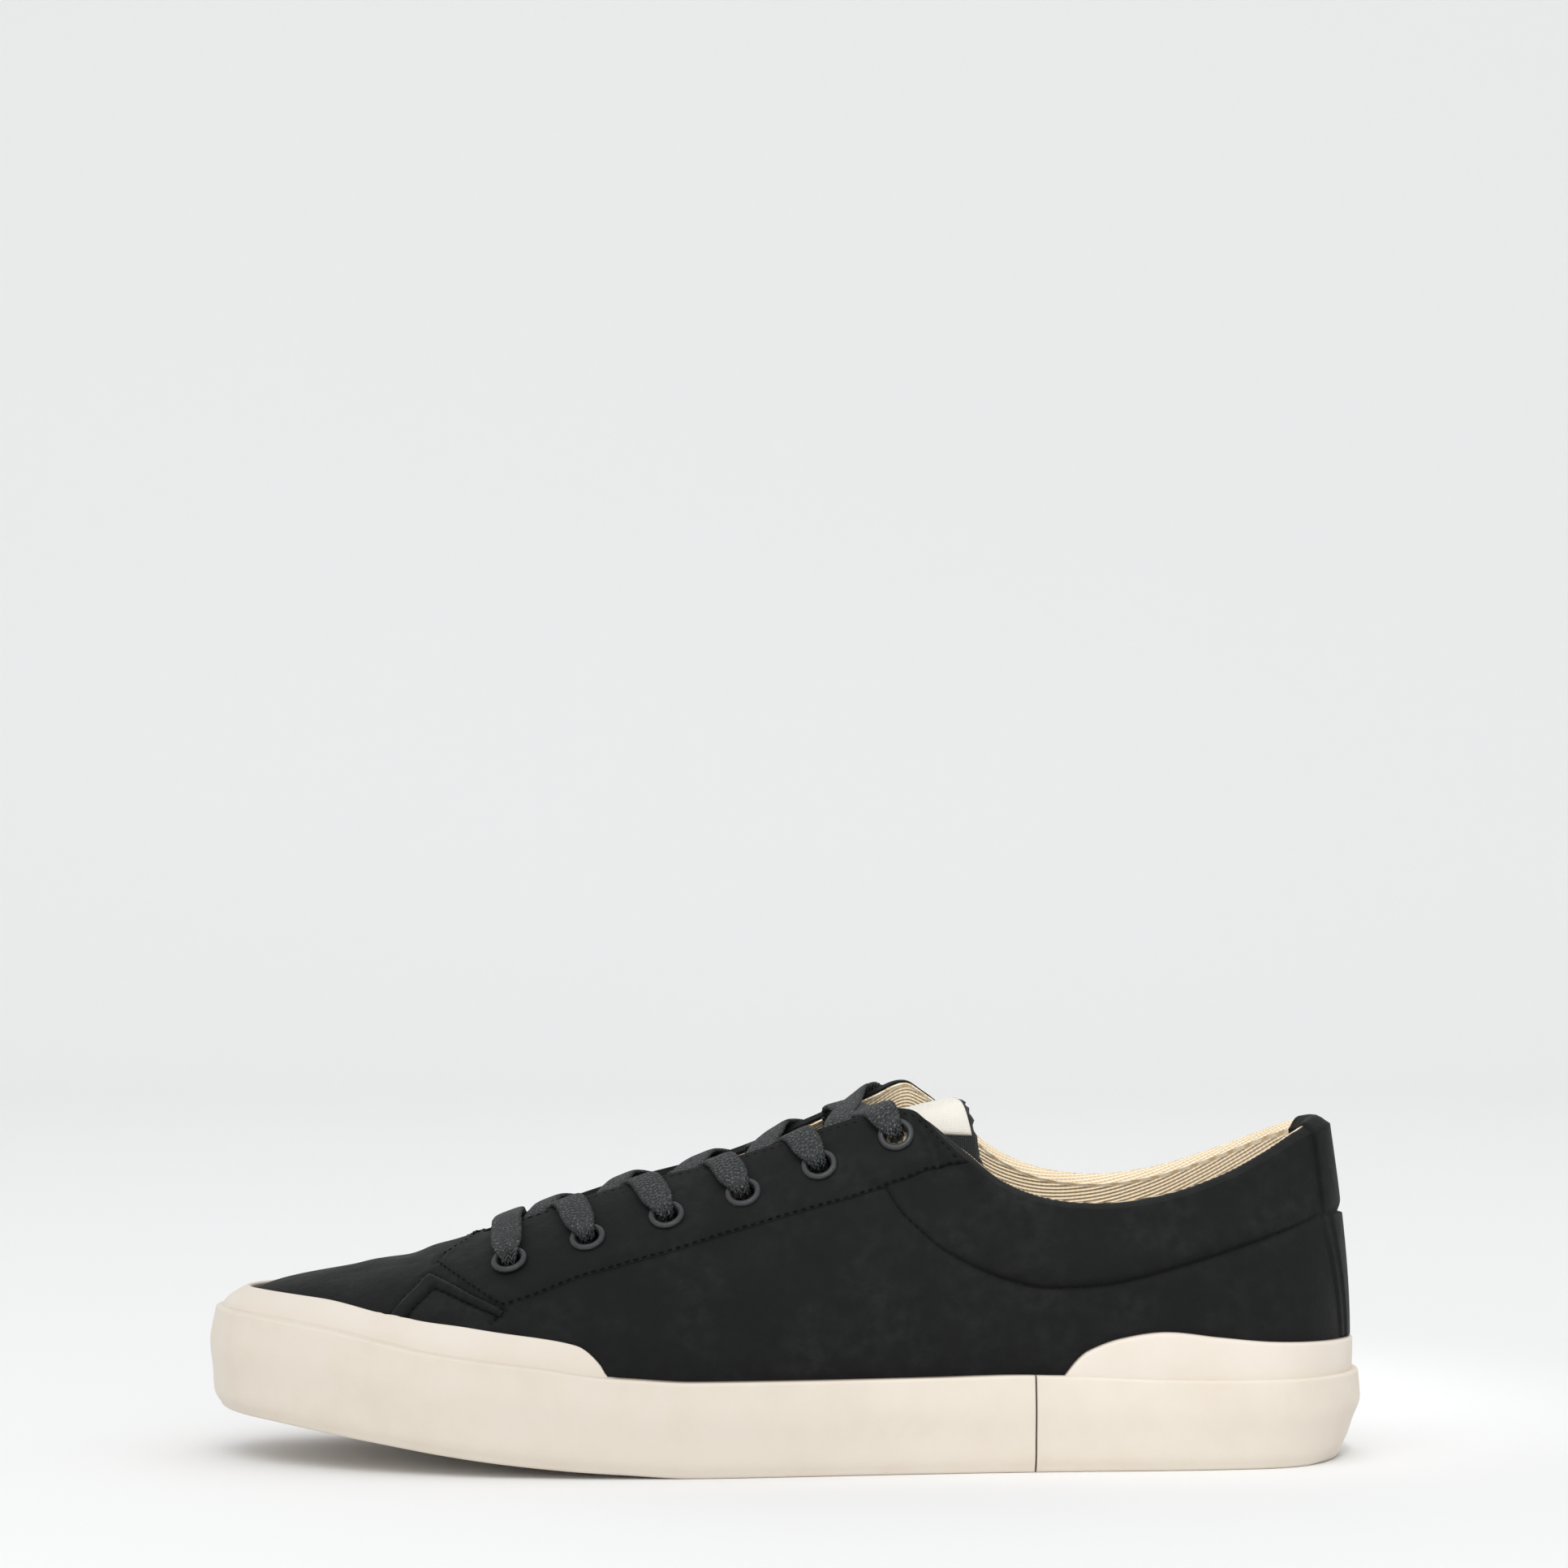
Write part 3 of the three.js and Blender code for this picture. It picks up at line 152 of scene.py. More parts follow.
# The shoe's sections from the toe tip to the back of the heel: x, outer edge, inner edge, the
# width that the edges are shares of, the top edge's x, half opening, its size, top height,
# its size, and the inner side's lift.
SECTIONS = (
    (-0.5, 0.079, 0.079, "ball_width", -0.378, 0.2, "throat_gap", 0.84, "throat_height", 0.0),
    (-0.4905, -0.047, 0.206, "ball_width", -0.375, 0.2, "throat_gap", 0.844, "throat_height", 0.0),
    (-0.466, -0.164, 0.299, "ball_width", -0.365, 0.2, "throat_gap", 0.856, "throat_height", 0.0),
    (-0.422, -0.276, 0.374, "ball_width", -0.346, 0.2, "throat_gap", 0.875, "throat_height", 0.0),
    (-0.355, -0.383, 0.444, "ball_width", -0.312, 0.2, "throat_gap", 0.9175, "throat_height", 0.0),
    (-0.27, -0.463, 0.489, "ball_width", -0.26, 0.3, "throat_gap", 1.0, "throat_height", 0.0),
    (-0.203, -0.4935, 0.5, "ball_width", -0.203, 0.3, "throat_gap", 0.701, "facing_height", 0.04),
    (-0.1385, -0.5, 0.481, "ball_width", -0.1385, 0.31, "throat_gap", 0.7715, "facing_height", 0.07),
    (-0.0575, -0.486, 0.433, "ball_width", -0.0575, 0.34, "throat_gap", 0.842, "facing_height", 0.15),
    (0.02, -0.604, 0.515, "waist_width", 0.017, 0.39, "throat_gap", 0.927, "facing_height", 0.4),
    (0.078, -0.566, 0.4825, "waist_width", 0.071, 0.443, "throat_gap", 0.984, "facing_height", 0.67),
    (0.1115, -0.546, 0.4725, "waist_width", 0.1015, 0.5, "throat_gap", 1.0, "facing_height", 1.0),
    (0.135, -0.5325, 0.4675, "waist_width", 0.1215, 0.571, "throat_gap", 0.9675, "facing_height", 0.96),
    (0.162, -0.5175, 0.465, "waist_width", 0.152, 0.398, "collar_width", 1.2025, "collar_dip", 0.91),
    (0.1925, -0.5025, 0.469, "waist_width", 0.184, 0.461, "collar_width", 1.083, "collar_dip", 0.84),
    (0.233, -0.497, 0.491, "heel_width", 0.2265, 0.497, "collar_width", 1.014, "collar_dip", 0.67),
    (0.284, -0.481, 0.514, "heel_width", 0.279, 0.5, "collar_width", 1.0, "collar_dip", 0.55),
    (0.3345, -0.465, 0.5345, "heel_width", 0.331, 0.461, "collar_width", 1.034, "collar_dip", 0.55),
    (0.385, -0.44, 0.527, "heel_width", 0.3785, 0.3875, "collar_width", 0.849, "heel_height", 0.58),
    (0.429, -0.403, 0.492, "heel_width", 0.4155, 0.297, "collar_width", 0.908, "heel_height", 0.47),
    (0.463, -0.313, 0.403, "heel_width", 0.444, 0.195, "collar_width", 0.96, "heel_height", 0.29),
    (0.49, -0.153, 0.243, "heel_width", 0.464, 0.094, "collar_width", 0.9905, "heel_height", 0.11),
    (0.5, 0.045, 0.045, "heel_width", 0.471, 0.0, "collar_width", 1.0, "heel_height", 0.0),
)
HEEL = len(SECTIONS) - 1
THROAT = 5
FACING_TOP = 11
THROAT_ROUND = 0.6
ROLL_SHARE = 0.3
HEEL_ROUND = 17

# Where the top edge's middle lies, by section, as a share of the ball width.
TOP_MIDDLE: Line = ((0, 0.056), (3, 0.051), (THROAT, 0.042), (8, 0.037), (16, 0.033), (HEEL, 0.033))

# How the wall bends between its foot and its crest: section, rise, swell, drop, reach, spread.
WALL_BENDS = (
    (0, 0.75, 0.005, 0.16, 0.27, 0.0),
    (3, 0.66, 0.01, 0.12, 0.23, 0.0),
    (THROAT, 0.55, 0.02, 0.04, 0.23, 0.0),
    (7, 0.42, 0.015, 0.04, 0.25, 0.0),
    (9, 0.38, 0.012, 0.06, 0.24, 0.1),
    (FACING_TOP, 0.37, 0.01, 0.16, 0.14, 0.62),
    (13, 0.38, 0.015, 0.28, 0.045, 1.0),
    (16, 0.36, 0.03, 0.3, 0.03, 1.0),
    (19, 0.34, 0.03, 0.34, 0.035, 1.0),
    (HEEL, 0.33, 0.03, 0.38, 0.035, 1.0),
)
BEND_NAMES = ("rise", "swell", "drop", "reach", "spread")

# Lines seen from the side: x as a share of the sole's length, z as a share of a named size.
BOTTOM_LINE: Line = (
    (-0.5, 1), (-0.435, 0.89), (-0.348, 0.62), (-0.29, 0.42), (-0.236, 0.27), (-0.18, 0.15),
    (-0.127, 0.07), (-0.075, 0), (0.5, 0),
)
HEEL_BEVEL_LINE: Line = ((0.455, 0), (0.47, 0.15), (0.485, 0.55), (0.5, 1))
FOXING_LINE: Line = (
    (-0.5, 1.07), (-0.39, 1.08), (-0.3, 1.035), (-0.215, 1.035), (-0.147, 0.99), (0, 0.99),
    (0.125, 1), (0.195, 1.015), (0.333, 0.95), (0.5, 0.93),
)
TOE_GUARD_LINE: Line = (
    (-0.5, 0.5), (-0.435, 0.61), (-0.377, 0.7), (-0.32, 0.76), (-0.264, 0.83), (-0.209, 0.81),
    (-0.181, 0.8), (-0.168, 0.71), (-0.1545, 0.33), (-0.148, -0.05),
)
HEEL_GUARD_LINE: Line = (
    (0.236, -0.03), (0.247, 0.33), (0.257, 0.55), (0.285, 0.85), (0.326, 1.02), (0.368, 0.91),
    (0.411, 0.8), (0.457, 0.75), (0.5, 0.73),
)
FACING_FOOT_LINE: Line = (
    (-0.298, 0.562), (-0.2375, 0.459), (-0.213, 0.486), (-0.171, 0.5375), (-0.126, 0.579),
    (-0.08, 0.6215), (-0.034, 0.67), (0.0125, 0.713), (0.059, 0.757), (0.09, 0.792),
    (0.1205, 0.8275), (0.157, 0.854),
)
FACING_FRONT_LINE: Line = ((-0.298, 0.562), (-0.293, 0.5845), (-0.277, 0.6155), (-0.262, 0.6395))
COLLAR_SEAM_LINE: Line = (
    (0.0865, 1.081), (0.099, 0.994), (0.114, 0.928), (0.136, 0.845), (0.177, 0.7515),
    (0.227, 0.701), (0.277, 0.715), (0.328, 0.768), (0.379, 0.834), (0.432, 0.9095), (0.47, 0.97),
)
EYELET_LINE: Line = (
    (-0.233, 0.571), (-0.1665, 0.634), (-0.0995, 0.6965), (-0.034, 0.759), (0.031, 0.8375),
    (0.0965, 0.924),
)
FOXING_JOINT = 0.2125

# How far the sidewall's face stands in from its fullest line: share of its height, share of
# its rounding along the sides and toe, share of its rounding at the back of the heel.
FOXING_FACE = ((0, 1, 1), (0.1, 0.45, 0.76), (0.35, 0.25, 0.42), (0.65, 0, 0), (1, 0.5, 0.1))


def smooth_step(t: Array | float) -> Array:
    """Rises smoothly from 0 to 1 as t does."""
    c = np.clip(t, 0.0, 1.0)
    return c * c * (3 - 2 * c)


def facing_fullness(u: Array) -> Array:
    """The share of its thickness that the facing has at stations u, thin at its front tip."""
    return 0.35 + 0.65 * smooth_step((np.abs(u) - THROAT + 0.3) / 2.2)


def unit(vectors: Array) -> Array:
    """The same directions with length 1."""
    return vectors / np.maximum(np.linalg.norm(vectors, axis=-1, keepdims=True), 1e-12)


def cubic(ends: tuple[Array, Array], slopes: tuple[Array, Array], span: Array, t: Array) -> Array:
    """Values between two ends with slopes there, at shares t of a span."""
    (first, second), (leaving, arriving) = ends, slopes
    return (
        first * (2 * t**3 - 3 * t**2 + 1) + second * (3 * t**2 - 2 * t**3)
        + leaving * span * (t**3 - 2 * t**2 + t) + arriving * span * (t**3 - t**2)
    )


def through(points: Line, x: Array | float) -> Array:
    """A smooth curve through points of rising x, level beyond its ends and at its peaks.

    Args:
        points: Pairs of x and value.
        x: Where the curve is read.

    Returns:
        The curve's value at each x.
    """
    knots = np.array(points, float)
    xs, ys = knots[:, 0], knots[:, 1]
    slopes = np.diff(ys) / np.diff(xs)
    tangents = np.concatenate([slopes[:1], (ys[2:] - ys[:-2]) / (xs[2:] - xs[:-2]), slopes[-1:]])
    tangents[1:-1][slopes[:-1] * slopes[1:] <= 0] = 0
    x = np.clip(x, xs[0], xs[-1])
    i = np.clip(np.searchsorted(xs, x) - 1, 0, len(xs) - 2)
    span = xs[i + 1] - xs[i]
    return cubic((ys[i], ys[i + 1]), (tangents[i], tangents[i + 1]), span, (x - xs[i]) / span)


def halved(low: Array, high: Array, holds: Callable[[Array], Array], count: int = HALVINGS) -> Array:
    """Where a condition stops that holds at low and not at high, found by halving."""
    for _ in range(count):
        middle = (low + high) / 2
        held = holds(middle)
        low, high = np.where(held, middle, low), np.where(held, high, middle)
    return (low + high) / 2


def away_from(path: Array, points: Array) -> Array:
    """The distances of points from a path of straight stretches."""
    near = np.full(points.shape[:-1], np.inf)
    for a, b in zip(path[:-1], path[1:]):
        t = np.clip(((points - a) @ (b - a)) / ((b - a) @ (b - a)), 0, 1)
        near = np.minimum(near, np.linalg.norm(points - a - t[..., None] * (b - a), axis=-1))
    return near


def lengths_along(points: Array, axis: int = 0) -> Array:
    """The distances of points from the first, along their rows or columns."""
    steps = np.linalg.norm(np.diff(points, axis=axis), axis=-1)
    return np.insert(np.cumsum(steps, axis), 0, 0.0, axis)


def sampled(at: Array, run: Array, vectors: Array) -> Array:
    """Vectors at some distances, straight between those at the distances of a run."""
    return np.stack([np.interp(at, run, vectors[:, k]) for k in range(3)], -1)


def stretches(*parts: tuple[float, float, int]) -> Array:
    """Stations in one row from stretches, each with its start, end and count."""
    return np.unique(np.concatenate([np.linspace(*part) for part in parts]))


def both_sides(stations: Array) -> Array:
    """Stations from one heel side round the toe to the other, from those of one side."""
    return np.concatenate([-stations[::-1], stations[stations > 0]])


def round_edge(count: int) -> tuple[Array, Array]:
    """Shares across and up of a quarter round, from its foot to its top."""
    turn = np.linspace(0, math.pi / 2, count)
    return 1 - np.cos(turn), np.sin(turn)


def rounded_row(edge: float, count: int, edge_count: int) -> tuple[Array, Array]:
    """Shares across a piece with rounded edges, and how full it is at each."""
    across, up = round_edge(edge_count)
    even = np.linspace(edge, 1 - edge, count)[1:-1]
    share = np.concatenate([across * edge, even, 1 - across[::-1] * edge])
    return share, np.concatenate([up, np.ones(len(even)), up[::-1]])


@dataclass(frozen=True)
class Wall:
    """The curves of the upper's wall at some stations, and where the throat cuts them off."""

    controls: tuple[Array, ...]
    cut: Array

    def on_curve(self, t: Array | float) -> Array:
        """Points at the shares t of the whole curves."""
        s = np.asarray(t, float)[..., None]
        a, b, c, d = self.controls
        return a * (1 - s) ** 3 + 3 * b * s * (1 - s) ** 2 + 3 * c * s * s * (1 - s) + d * s**3

    def point(self, v: Array | float) -> Array:
        """Points at the shares v of the curves' parts that are there."""
        return self.on_curve(v * self.cut)

    def reach(self, low: Array | float, high: Array | float) -> Array:
        """The straight distances between two shares of the parts that are there."""
        return np.linalg.norm(self.point(high) - self.point(low), axis=-1)


@dataclass(frozen=True)
class Crease:
    """A soft trough or ridge in the upper, along a line seen from the side.

    Attributes:
        side: The side of the shoe that it is on.
        line: Its points, x as a share of the sole's length and z of the facing's height.
        depth: How deep it is, and minus for a ridge.
        width: Half its width.
    """

    side: Side
    line: Line
    depth: float
    width: float


WING_OUTER: Line = (
    (-0.3365, 0.425), (-0.3255, 0.469), (-0.315, 0.507), (-0.309, 0.53), (-0.303, 0.541), (-0.2965, 0.533),
    (-0.263, 0.487), (-0.236, 0.452),
)
WING_INNER: Line = (
    (-0.321, 0.422), (-0.3125, 0.456), (-0.304, 0.485), (-0.3005, 0.499), (-0.297, 0.5045), (-0.292, 0.498),
    (-0.263, 0.463), (-0.24, 0.435),
)
WING_TAIL: Line = ((-0.2375, 0.452), (-0.242, 0.438), (-0.2465, 0.418))

SEAM_CREASES = tuple(
    Crease(side, line, depth, 0.0008)
    for side in Side
    for line, depth in (
        (WING_OUTER, 0.0003), (WING_INNER, 0.0003), (WING_TAIL, 0.0005), (FACING_FRONT_LINE, 0.0004),
    )
)
OUTER_CREASES = (
    (((0.117, 0.955), (0.128, 0.885), (0.133, 0.83)), 0.0007, 0.0016),
    (((0.1, 0.83), (0.112, 0.79), (0.116, 0.73)), 0.0005, 0.0022),
    (((0.152, 0.82), (0.158, 0.76), (0.176, 0.68)), 0.0006, 0.0024),
    (((0.178, 0.76), (0.19, 0.69), (0.206, 0.63)), 0.0005, 0.0026),
    (((0.33, 0.74), (0.338, 0.69), (0.335, 0.64)), 0.0004, 0.0028),
    (((-0.14, 0.5), (-0.1, 0.44), (-0.05, 0.42)), 0.0005, 0.0055),
    (((-0.02, 0.62), (0.03, 0.55), (0.06, 0.45)), 0.0006, 0.007),
    (((0.2, 0.52), (0.23, 0.46), (0.24, 0.4)), 0.0005, 0.006),
    (((-0.31, 0.5), (-0.325, 0.56), (-0.33, 0.6)), 0.0004, 0.004),
    (((-0.345, 0.44), (-0.36, 0.49), (-0.365, 0.53)), 0.0004, 0.0045),
)
INNER_CREASES = (
    (((0.152, 0.86), (0.16, 0.8), (0.178, 0.7)), 0.0006, 0.0024),
    (((-0.31, 0.5), (-0.322, 0.57), (-0.325, 0.61)), 0.0005, 0.004),
    (((-0.28, 0.49), (-0.29, 0.55), (-0.294, 0.6)), 0.0005, 0.0035),
    (((-0.1, 0.5), (-0.05, 0.45), (0.0, 0.43)), 0.0006, 0.006),
)
CREASES = SEAM_CREASES + tuple(
    Crease(side, *crease)
    for side, creases in ((Side.OUTER, OUTER_CREASES), (Side.INNER, INNER_CREASES))
    for crease in creases
)


class Last:
    """The form that sole and upper are laid on.

    A place on the upper is a station u and a share v. Stations run round the shoe: 0 is the
    toe tip, HEEL and -HEEL the back of the heel, minus the outer side. The share v runs from
    0 at the wall's foot to 1 at its top edge.
    """

    STEP = 0.01
    STITCH_SHADE = 0.00075
    SEAM_SHADE = 0.0007
    SEAM_DEPTH = 0.0006
    SEAM_WIDTH = 0.0011
    COLUMNS = ("x", "y", "top_x", "half", "height", "lift")

    def __init__(self, sizes: Sizes) -> None:
        """Lays out the sections round the shoe from its driving sizes."""
        self.sizes = sizes
        rows = []
        for station in range(1 - HEEL, HEEL + 1):
            x, outer, inner, width, top_x, half, gap, height, of, lift = SECTIONS[abs(station)]
            side = (station > 0) - (station < 0)
            rows.append((
                x * sizes.sole_length,
                (outer if station < 0 else inner) * getattr(sizes, width),
                top_x * sizes.sole_length,
                side * half * getattr(sizes, gap),
                height * getattr(sizes, of),
                max(side, 0) * lift * sizes.inner_side_lift,
            ))
        self.columns = dict(zip(self.COLUMNS, np.array(rows).T))
        self.bends = {
            name: tuple((row[0], row[k + 1]) for row in WALL_BENDS) for k, name in enumerate(BEND_NAMES)
        }
        self.creases = [(self.on_side(c.side, c.line), c) for c in CREASES]

    def under_line(self, side: Side, line: Line, t: Array) -> tuple[Array, Array]:
        """The places on the wall under a side-view line in facing heights, t points along it."""
        x, z = (np.interp(t, range(len(line)), values) for values in zip(*line))
        return self.locate(side, x * self.sizes.sole_length, z * self.sizes.facing_height)

    def on_side(self, side: Side, line: Line) -> Array:
        """Places on the plain wall under the points of a side-view line."""
        u, v = self.under_line(side, line, np.arange(len(line)))
        return self.wall(u).point(v)

    def stations_at(self, side: Side, shares: Sequence[float], height_at: HeightAt) -> Array:
        """The stations, without sign, where a height line is at shares of the sole's length."""
        x = np.array(shares) * self.sizes.sole_length
        return np.abs(self.locate(side, x, height_at(x))[0])

    def around(self, column: str, u: Array) -> Array:
        """A section column's smooth value at stations u."""
        u = np.asarray(u, float)
        i = np.floor(u).astype(int)
        t = u - i
        values = self.columns[column]
        a, b, c, d = (values[(i + k + HEEL - 1) % len(values)] for k in (-1, 0, 1, 2))
        return 0.5 * (
            2 * b + (c - a) * t + (2 * a - 5 * b + 4 * c - d) * t * t + (3 * b - a - 3 * c + d) * t**3
        )

    def height_line(self, line: Line, size: float) -> HeightAt:
        """The heights of a side-view line whose z are shares of a size."""
        return lambda x: size * through(line, x / self.sizes.sole_length)

    def lifted_line(self, side: Side, line: Line, size: float) -> HeightAt:
        """The same, raised on the inner side in step with its top edge."""
        base = self.height_line(line, size)
        lifts = tuple((row[4], row[9]) for row in SECTIONS[THROAT:])
        rise = self.sizes.inner_side_lift if side is Side.INNER else 0.0
        return lambda x: base(x) + rise * through(lifts, x / self.sizes.sole_length)

    def facing_foot(self, side: Side) -> HeightAt:
        """The facing's lower edge: straight down the wing's arm, then up along the seam."""
        arm = self.lifted_line(side, FACING_FOOT_LINE[:2], self.sizes.facing_height)
        seam = self.lifted_line(side, FACING_FOOT_LINE[1:], self.sizes.facing_height)
        corner = FACING_FOOT_LINE[1][0] * self.sizes.sole_length
        return lambda x: np.where(x < corner, arm(x), seam(x))

    def bottom(self, x: Array) -> Array:
        """Height of the sole's underside, without the bevel at the heel."""
        return self.sizes.toe_spring * through(BOTTOM_LINE, x / self.sizes.sole_length)

    def underside(self, x: Array) -> Array:
        """Height of the sole's underside."""
        return self.bottom(x) + self.sizes.heel_bevel * through(HEEL_BEVEL_LINE, x / self.sizes.sole_length)

    def foxing_top(self, x: Array) -> Array:
        """Height of the sidewall's top edge."""
        return self.bottom(x) + self.sizes.foxing_height * through(FOXING_LINE, x / self.sizes.sole_length)

    def outsole_top(self, x: Array) -> Array:
        """Height of the outsole's upper face, inside the shoe."""
        return self.bottom(x) + self.sizes.outsole_thickness

    def sole_point(self, u: Array, offset: Array | float = 0.0) -> tuple[Array, Array]:
        """The sole's edge in plan at stations u moved out by an offset, and the ways straight out."""
        step = 2 * self.STEP
        ahead, behind = (np.stack([self.around(c, u + s) for c in "xy"], -1) for s in (step, -step))
        along = unit(ahead - behind)
        out = np.stack([-along[..., 1], along[..., 0], np.zeros_like(along[..., 0])], -1)
        zero = np.zeros_like(np.asarray(u, float))
        place = np.stack([self.around("x", u), self.around("y", u), zero], -1)
        return place + out * np.asarray(offset, float)[..., None], out

    def middle(self, u: Array) -> Array:
        """Where the top edge's middle line lies across the shoe."""
        return self.sizes.ball_width * through(TOP_MIDDLE, np.abs(u))

    def openness(self, u: Array) -> Array:
        """0 where both sides join over the toe, 1 where the top edge is open."""
        t = np.clip((np.abs(u) - THROAT) / THROAT_ROUND, 0, 1)
        return np.sqrt(1 - (1 - t) ** 2)

    def crest(self, u: Array) -> Array:
        """The crest of the wall at stations u."""
        spread = through(self.bends["spread"], np.abs(u))
        lift = np.where(u > THROAT, self.around("lift", u), 0.0)
        across = self.middle(u) + self.around("half", u) * spread
        return np.stack([self.around("top_x", u), across, self.around("height", u) + lift], -1)

    def curves(self, bend: dict[str, Array], foot: Array, out: Array, top: Array) -> Wall:
        """The whole curves from their feet to the crest, by their bends and ways out."""
        tall = top[..., 2] - foot[..., 2]
        first = foot + out * (bend["swell"] * self.sizes.ball_width)[..., None]
        first[..., 2] += bend["rise"] * tall
        second = top + out * (bend["reach"] * self.sizes.ball_width)[..., None]
        second[..., 2] -= bend["drop"] * tall
        return Wall((foot, first, second, top.copy()), np.ones_like(tall))

    @staticmethod
    def cut_share(walls: Wall, middle: Array, gap: Array) -> Array:
        """The shares at which the curves come within a gap of the middle line."""
        low, high = np.full_like(middle, 0.5), np.ones_like(middle)
        return halved(low, high, lambda t: np.abs(walls.on_curve(t)[..., 1] - middle) > gap)

    def wall(self, u: Array) -> Wall:
        """The wall's curves at stations u.

        Args:
            u: Stations, of any shape.

        Returns:
            The curves from foot to crest, with the share at which the throat cuts them.
        """
        u = np.asarray(u, float)
        bend = {name: through(line, np.abs(u)) for name, line in self.bends.items()}
        foot, out = self.sole_point(u, -self.sizes.foxing_wall)
        foot[..., 2] = self.outsole_top(foot[..., 0]) + self.sizes.clearance
        top = self.crest(u)
        half, middle = np.abs(self.around("half", u)), self.middle(u)
        walls = self.curves(bend, foot, out, top)
        open_part = (np.abs(u) > THROAT) & (bend["spread"] < 1)
        if not np.any(open_part):
            return walls
        edge_height = top[..., 2].copy()
        for _ in range(4):
            edge = walls.on_curve(self.cut_share(walls, middle, half))[..., 2]
            raised = (edge_height - edge) * smooth_step(np.abs(u) - THROAT)
            top[..., 2] += np.where(open_part, raised, 0.0)
            walls = self.curves(bend, foot, out, top)
        cut = self.cut_share(walls, middle, half * self.openness(u))
        return Wall(walls.controls, np.where(open_part, cut, 1.0))

    def crossing(self, u: Array, height_at: HeightAt) -> Array:
        """The shares v at which the wall at stations u crosses a line of height over x."""
        walls = self.wall(u)

        def below(v: Array) -> Array:
            """Whether the wall is still under the line."""
            place = walls.point(v)
            return place[..., 2] < height_at(place[..., 0])

        return halved(np.zeros(np.shape(u)), np.ones(np.shape(u)), below)

    def locate(self, side: Side, x: Array, z: Array) -> tuple[Array, Array]:
        """The places on one side's wall that lie at x and z, seen from the side."""
        x, z = np.broadcast_arrays(np.asarray(x, float), np.asarray(z, float))

        def ahead(u: Array) -> Array:
            """Whether stations are still ahead of x."""
            v = self.crossing(side.value * u, lambda _: z)
            return self.wall(side.value * u).point(v)[..., 0] < x

        u = side.value * halved(np.zeros(x.shape), np.full(x.shape, float(HEEL)), ahead)
        return u, self.crossing(u, lambda _: z)

    def collar_share(self, u: Array) -> Array:
        """How far along the collar's padding a station is, from 0 at the facing to 1."""
        return smooth_step((np.abs(u) - FACING_TOP) / 3)

    def swelling(self, u: Array) -> Array:
        """How full the collar's padding is at a station, flat under the heel tab."""
        return self.collar_share(u) * (1 - 0.9 * smooth_step((np.abs(u) - 18.8) / 1.8))

    def collar_seam(self, u: Array, v: Array) -> tuple[Array, Array, Array]:
        """The share where the collar's seam is, distances over it, and how much of it is there."""
        seam = self.crossing(u, self.height_line(COLLAR_SEAM_LINE, self.sizes.collar_dip))
        over = (v - seam) * self.wall(u).reach(0.0, 1.0)
        begun = smooth_step((np.abs(u) - FACING_TOP + 1.3) / 0.3)
        return seam, over, begun * smooth_step((20.6 - np.abs(u)) / 0.4)

    def padding(self, u: Array, v: Array) -> Array:
        """The swelling of the padded collar between its seam and its top edge."""
        seam, over, present = self.collar_seam(u, v)
        t = np.clip((v - seam) / np.maximum(1 - seam, 1e-6), 0, 1)
        swell = self.sizes.collar_swell * self.swelling(u) * np.sin(np.pi * np.sqrt(t))
        return swell - self.SEAM_DEPTH * present * np.exp(-((over / self.SEAM_WIDTH) ** 2))

    def normal(self, u: Array, v: Array) -> Array:
        """Directions straight out of the wall."""
        here = self.wall(u)
        up = here.point(np.minimum(v + self.STEP, 1)) - here.point(np.maximum(v - self.STEP, 0))
        along = self.wall(u + self.STEP).point(v) - self.wall(u - self.STEP).point(v)
        return unit(np.cross(up, along))

    def painted_seam_shade(self, u: Array, v: Array) -> Array:
        """How much painted shade darkens the leather along the seams and their stitches, from 0 to 1."""
        points = self.wall(u).point(v)
        near = np.min([away_from(path, points) for path, _ in self.creases[: len(SEAM_CREASES)]], axis=0)
        _, over, present = self.collar_seam(u, v)
        collar = present * np.exp(-((over / self.SEAM_SHADE) ** 2))
        return np.maximum(np.exp(-((near / self.STITCH_SHADE) ** 2)), collar)

    def creased(self, points: Array) -> Array:
        """How far the creases raise or sink the upper at some points."""
        lift = np.zeros(points.shape[:-1])
        for path, crease in self.creases:
            d = away_from(path, points) / crease.width
            lift += crease.depth * (0.45 * np.exp(-((d - 2) ** 2)) - np.exp(-(d**2)))
        return lift

    def skin(
        self, u: Array, v: Array | float, offset: Array | float = 0.0, worn: bool = True
    ) -> Array:
        """Places on the upper's outer face, moved out by an offset.

        Args:
            u: Stations.
            v: Shares of the wall.
            offset: How far out.
            worn: Whether the face has its creases.

        Returns:
            The places.
        """
        u, v = np.asarray(u, float), np.asarray(v, float)
        place = self.wall(u).point(v)
        normal = self.normal(u, v)
        ridge = (v >= 1) & (np.abs(u) <= THROAT)
        if np.any(ridge):
            other = self.normal(-u, v)
            normal = np.where(ridge[..., None], unit(normal + other), normal)
        lift = offset + self.padding(u, v)
        if worn:
            lift = lift + self.creased(place)
        return place + normal * np.asarray(lift)[..., None]

    def thickness(self, u: Array, v: Array | float) -> Array:
        """The wall's thickness: thin, and padded towards the collar's edge."""
        extra = self.sizes.collar_wall - self.sizes.upper_wall
        upward = smooth_step((np.asarray(v) - 0.3) / 0.6)
        return self.sizes.upper_wall + extra * self.collar_share(u) * upward

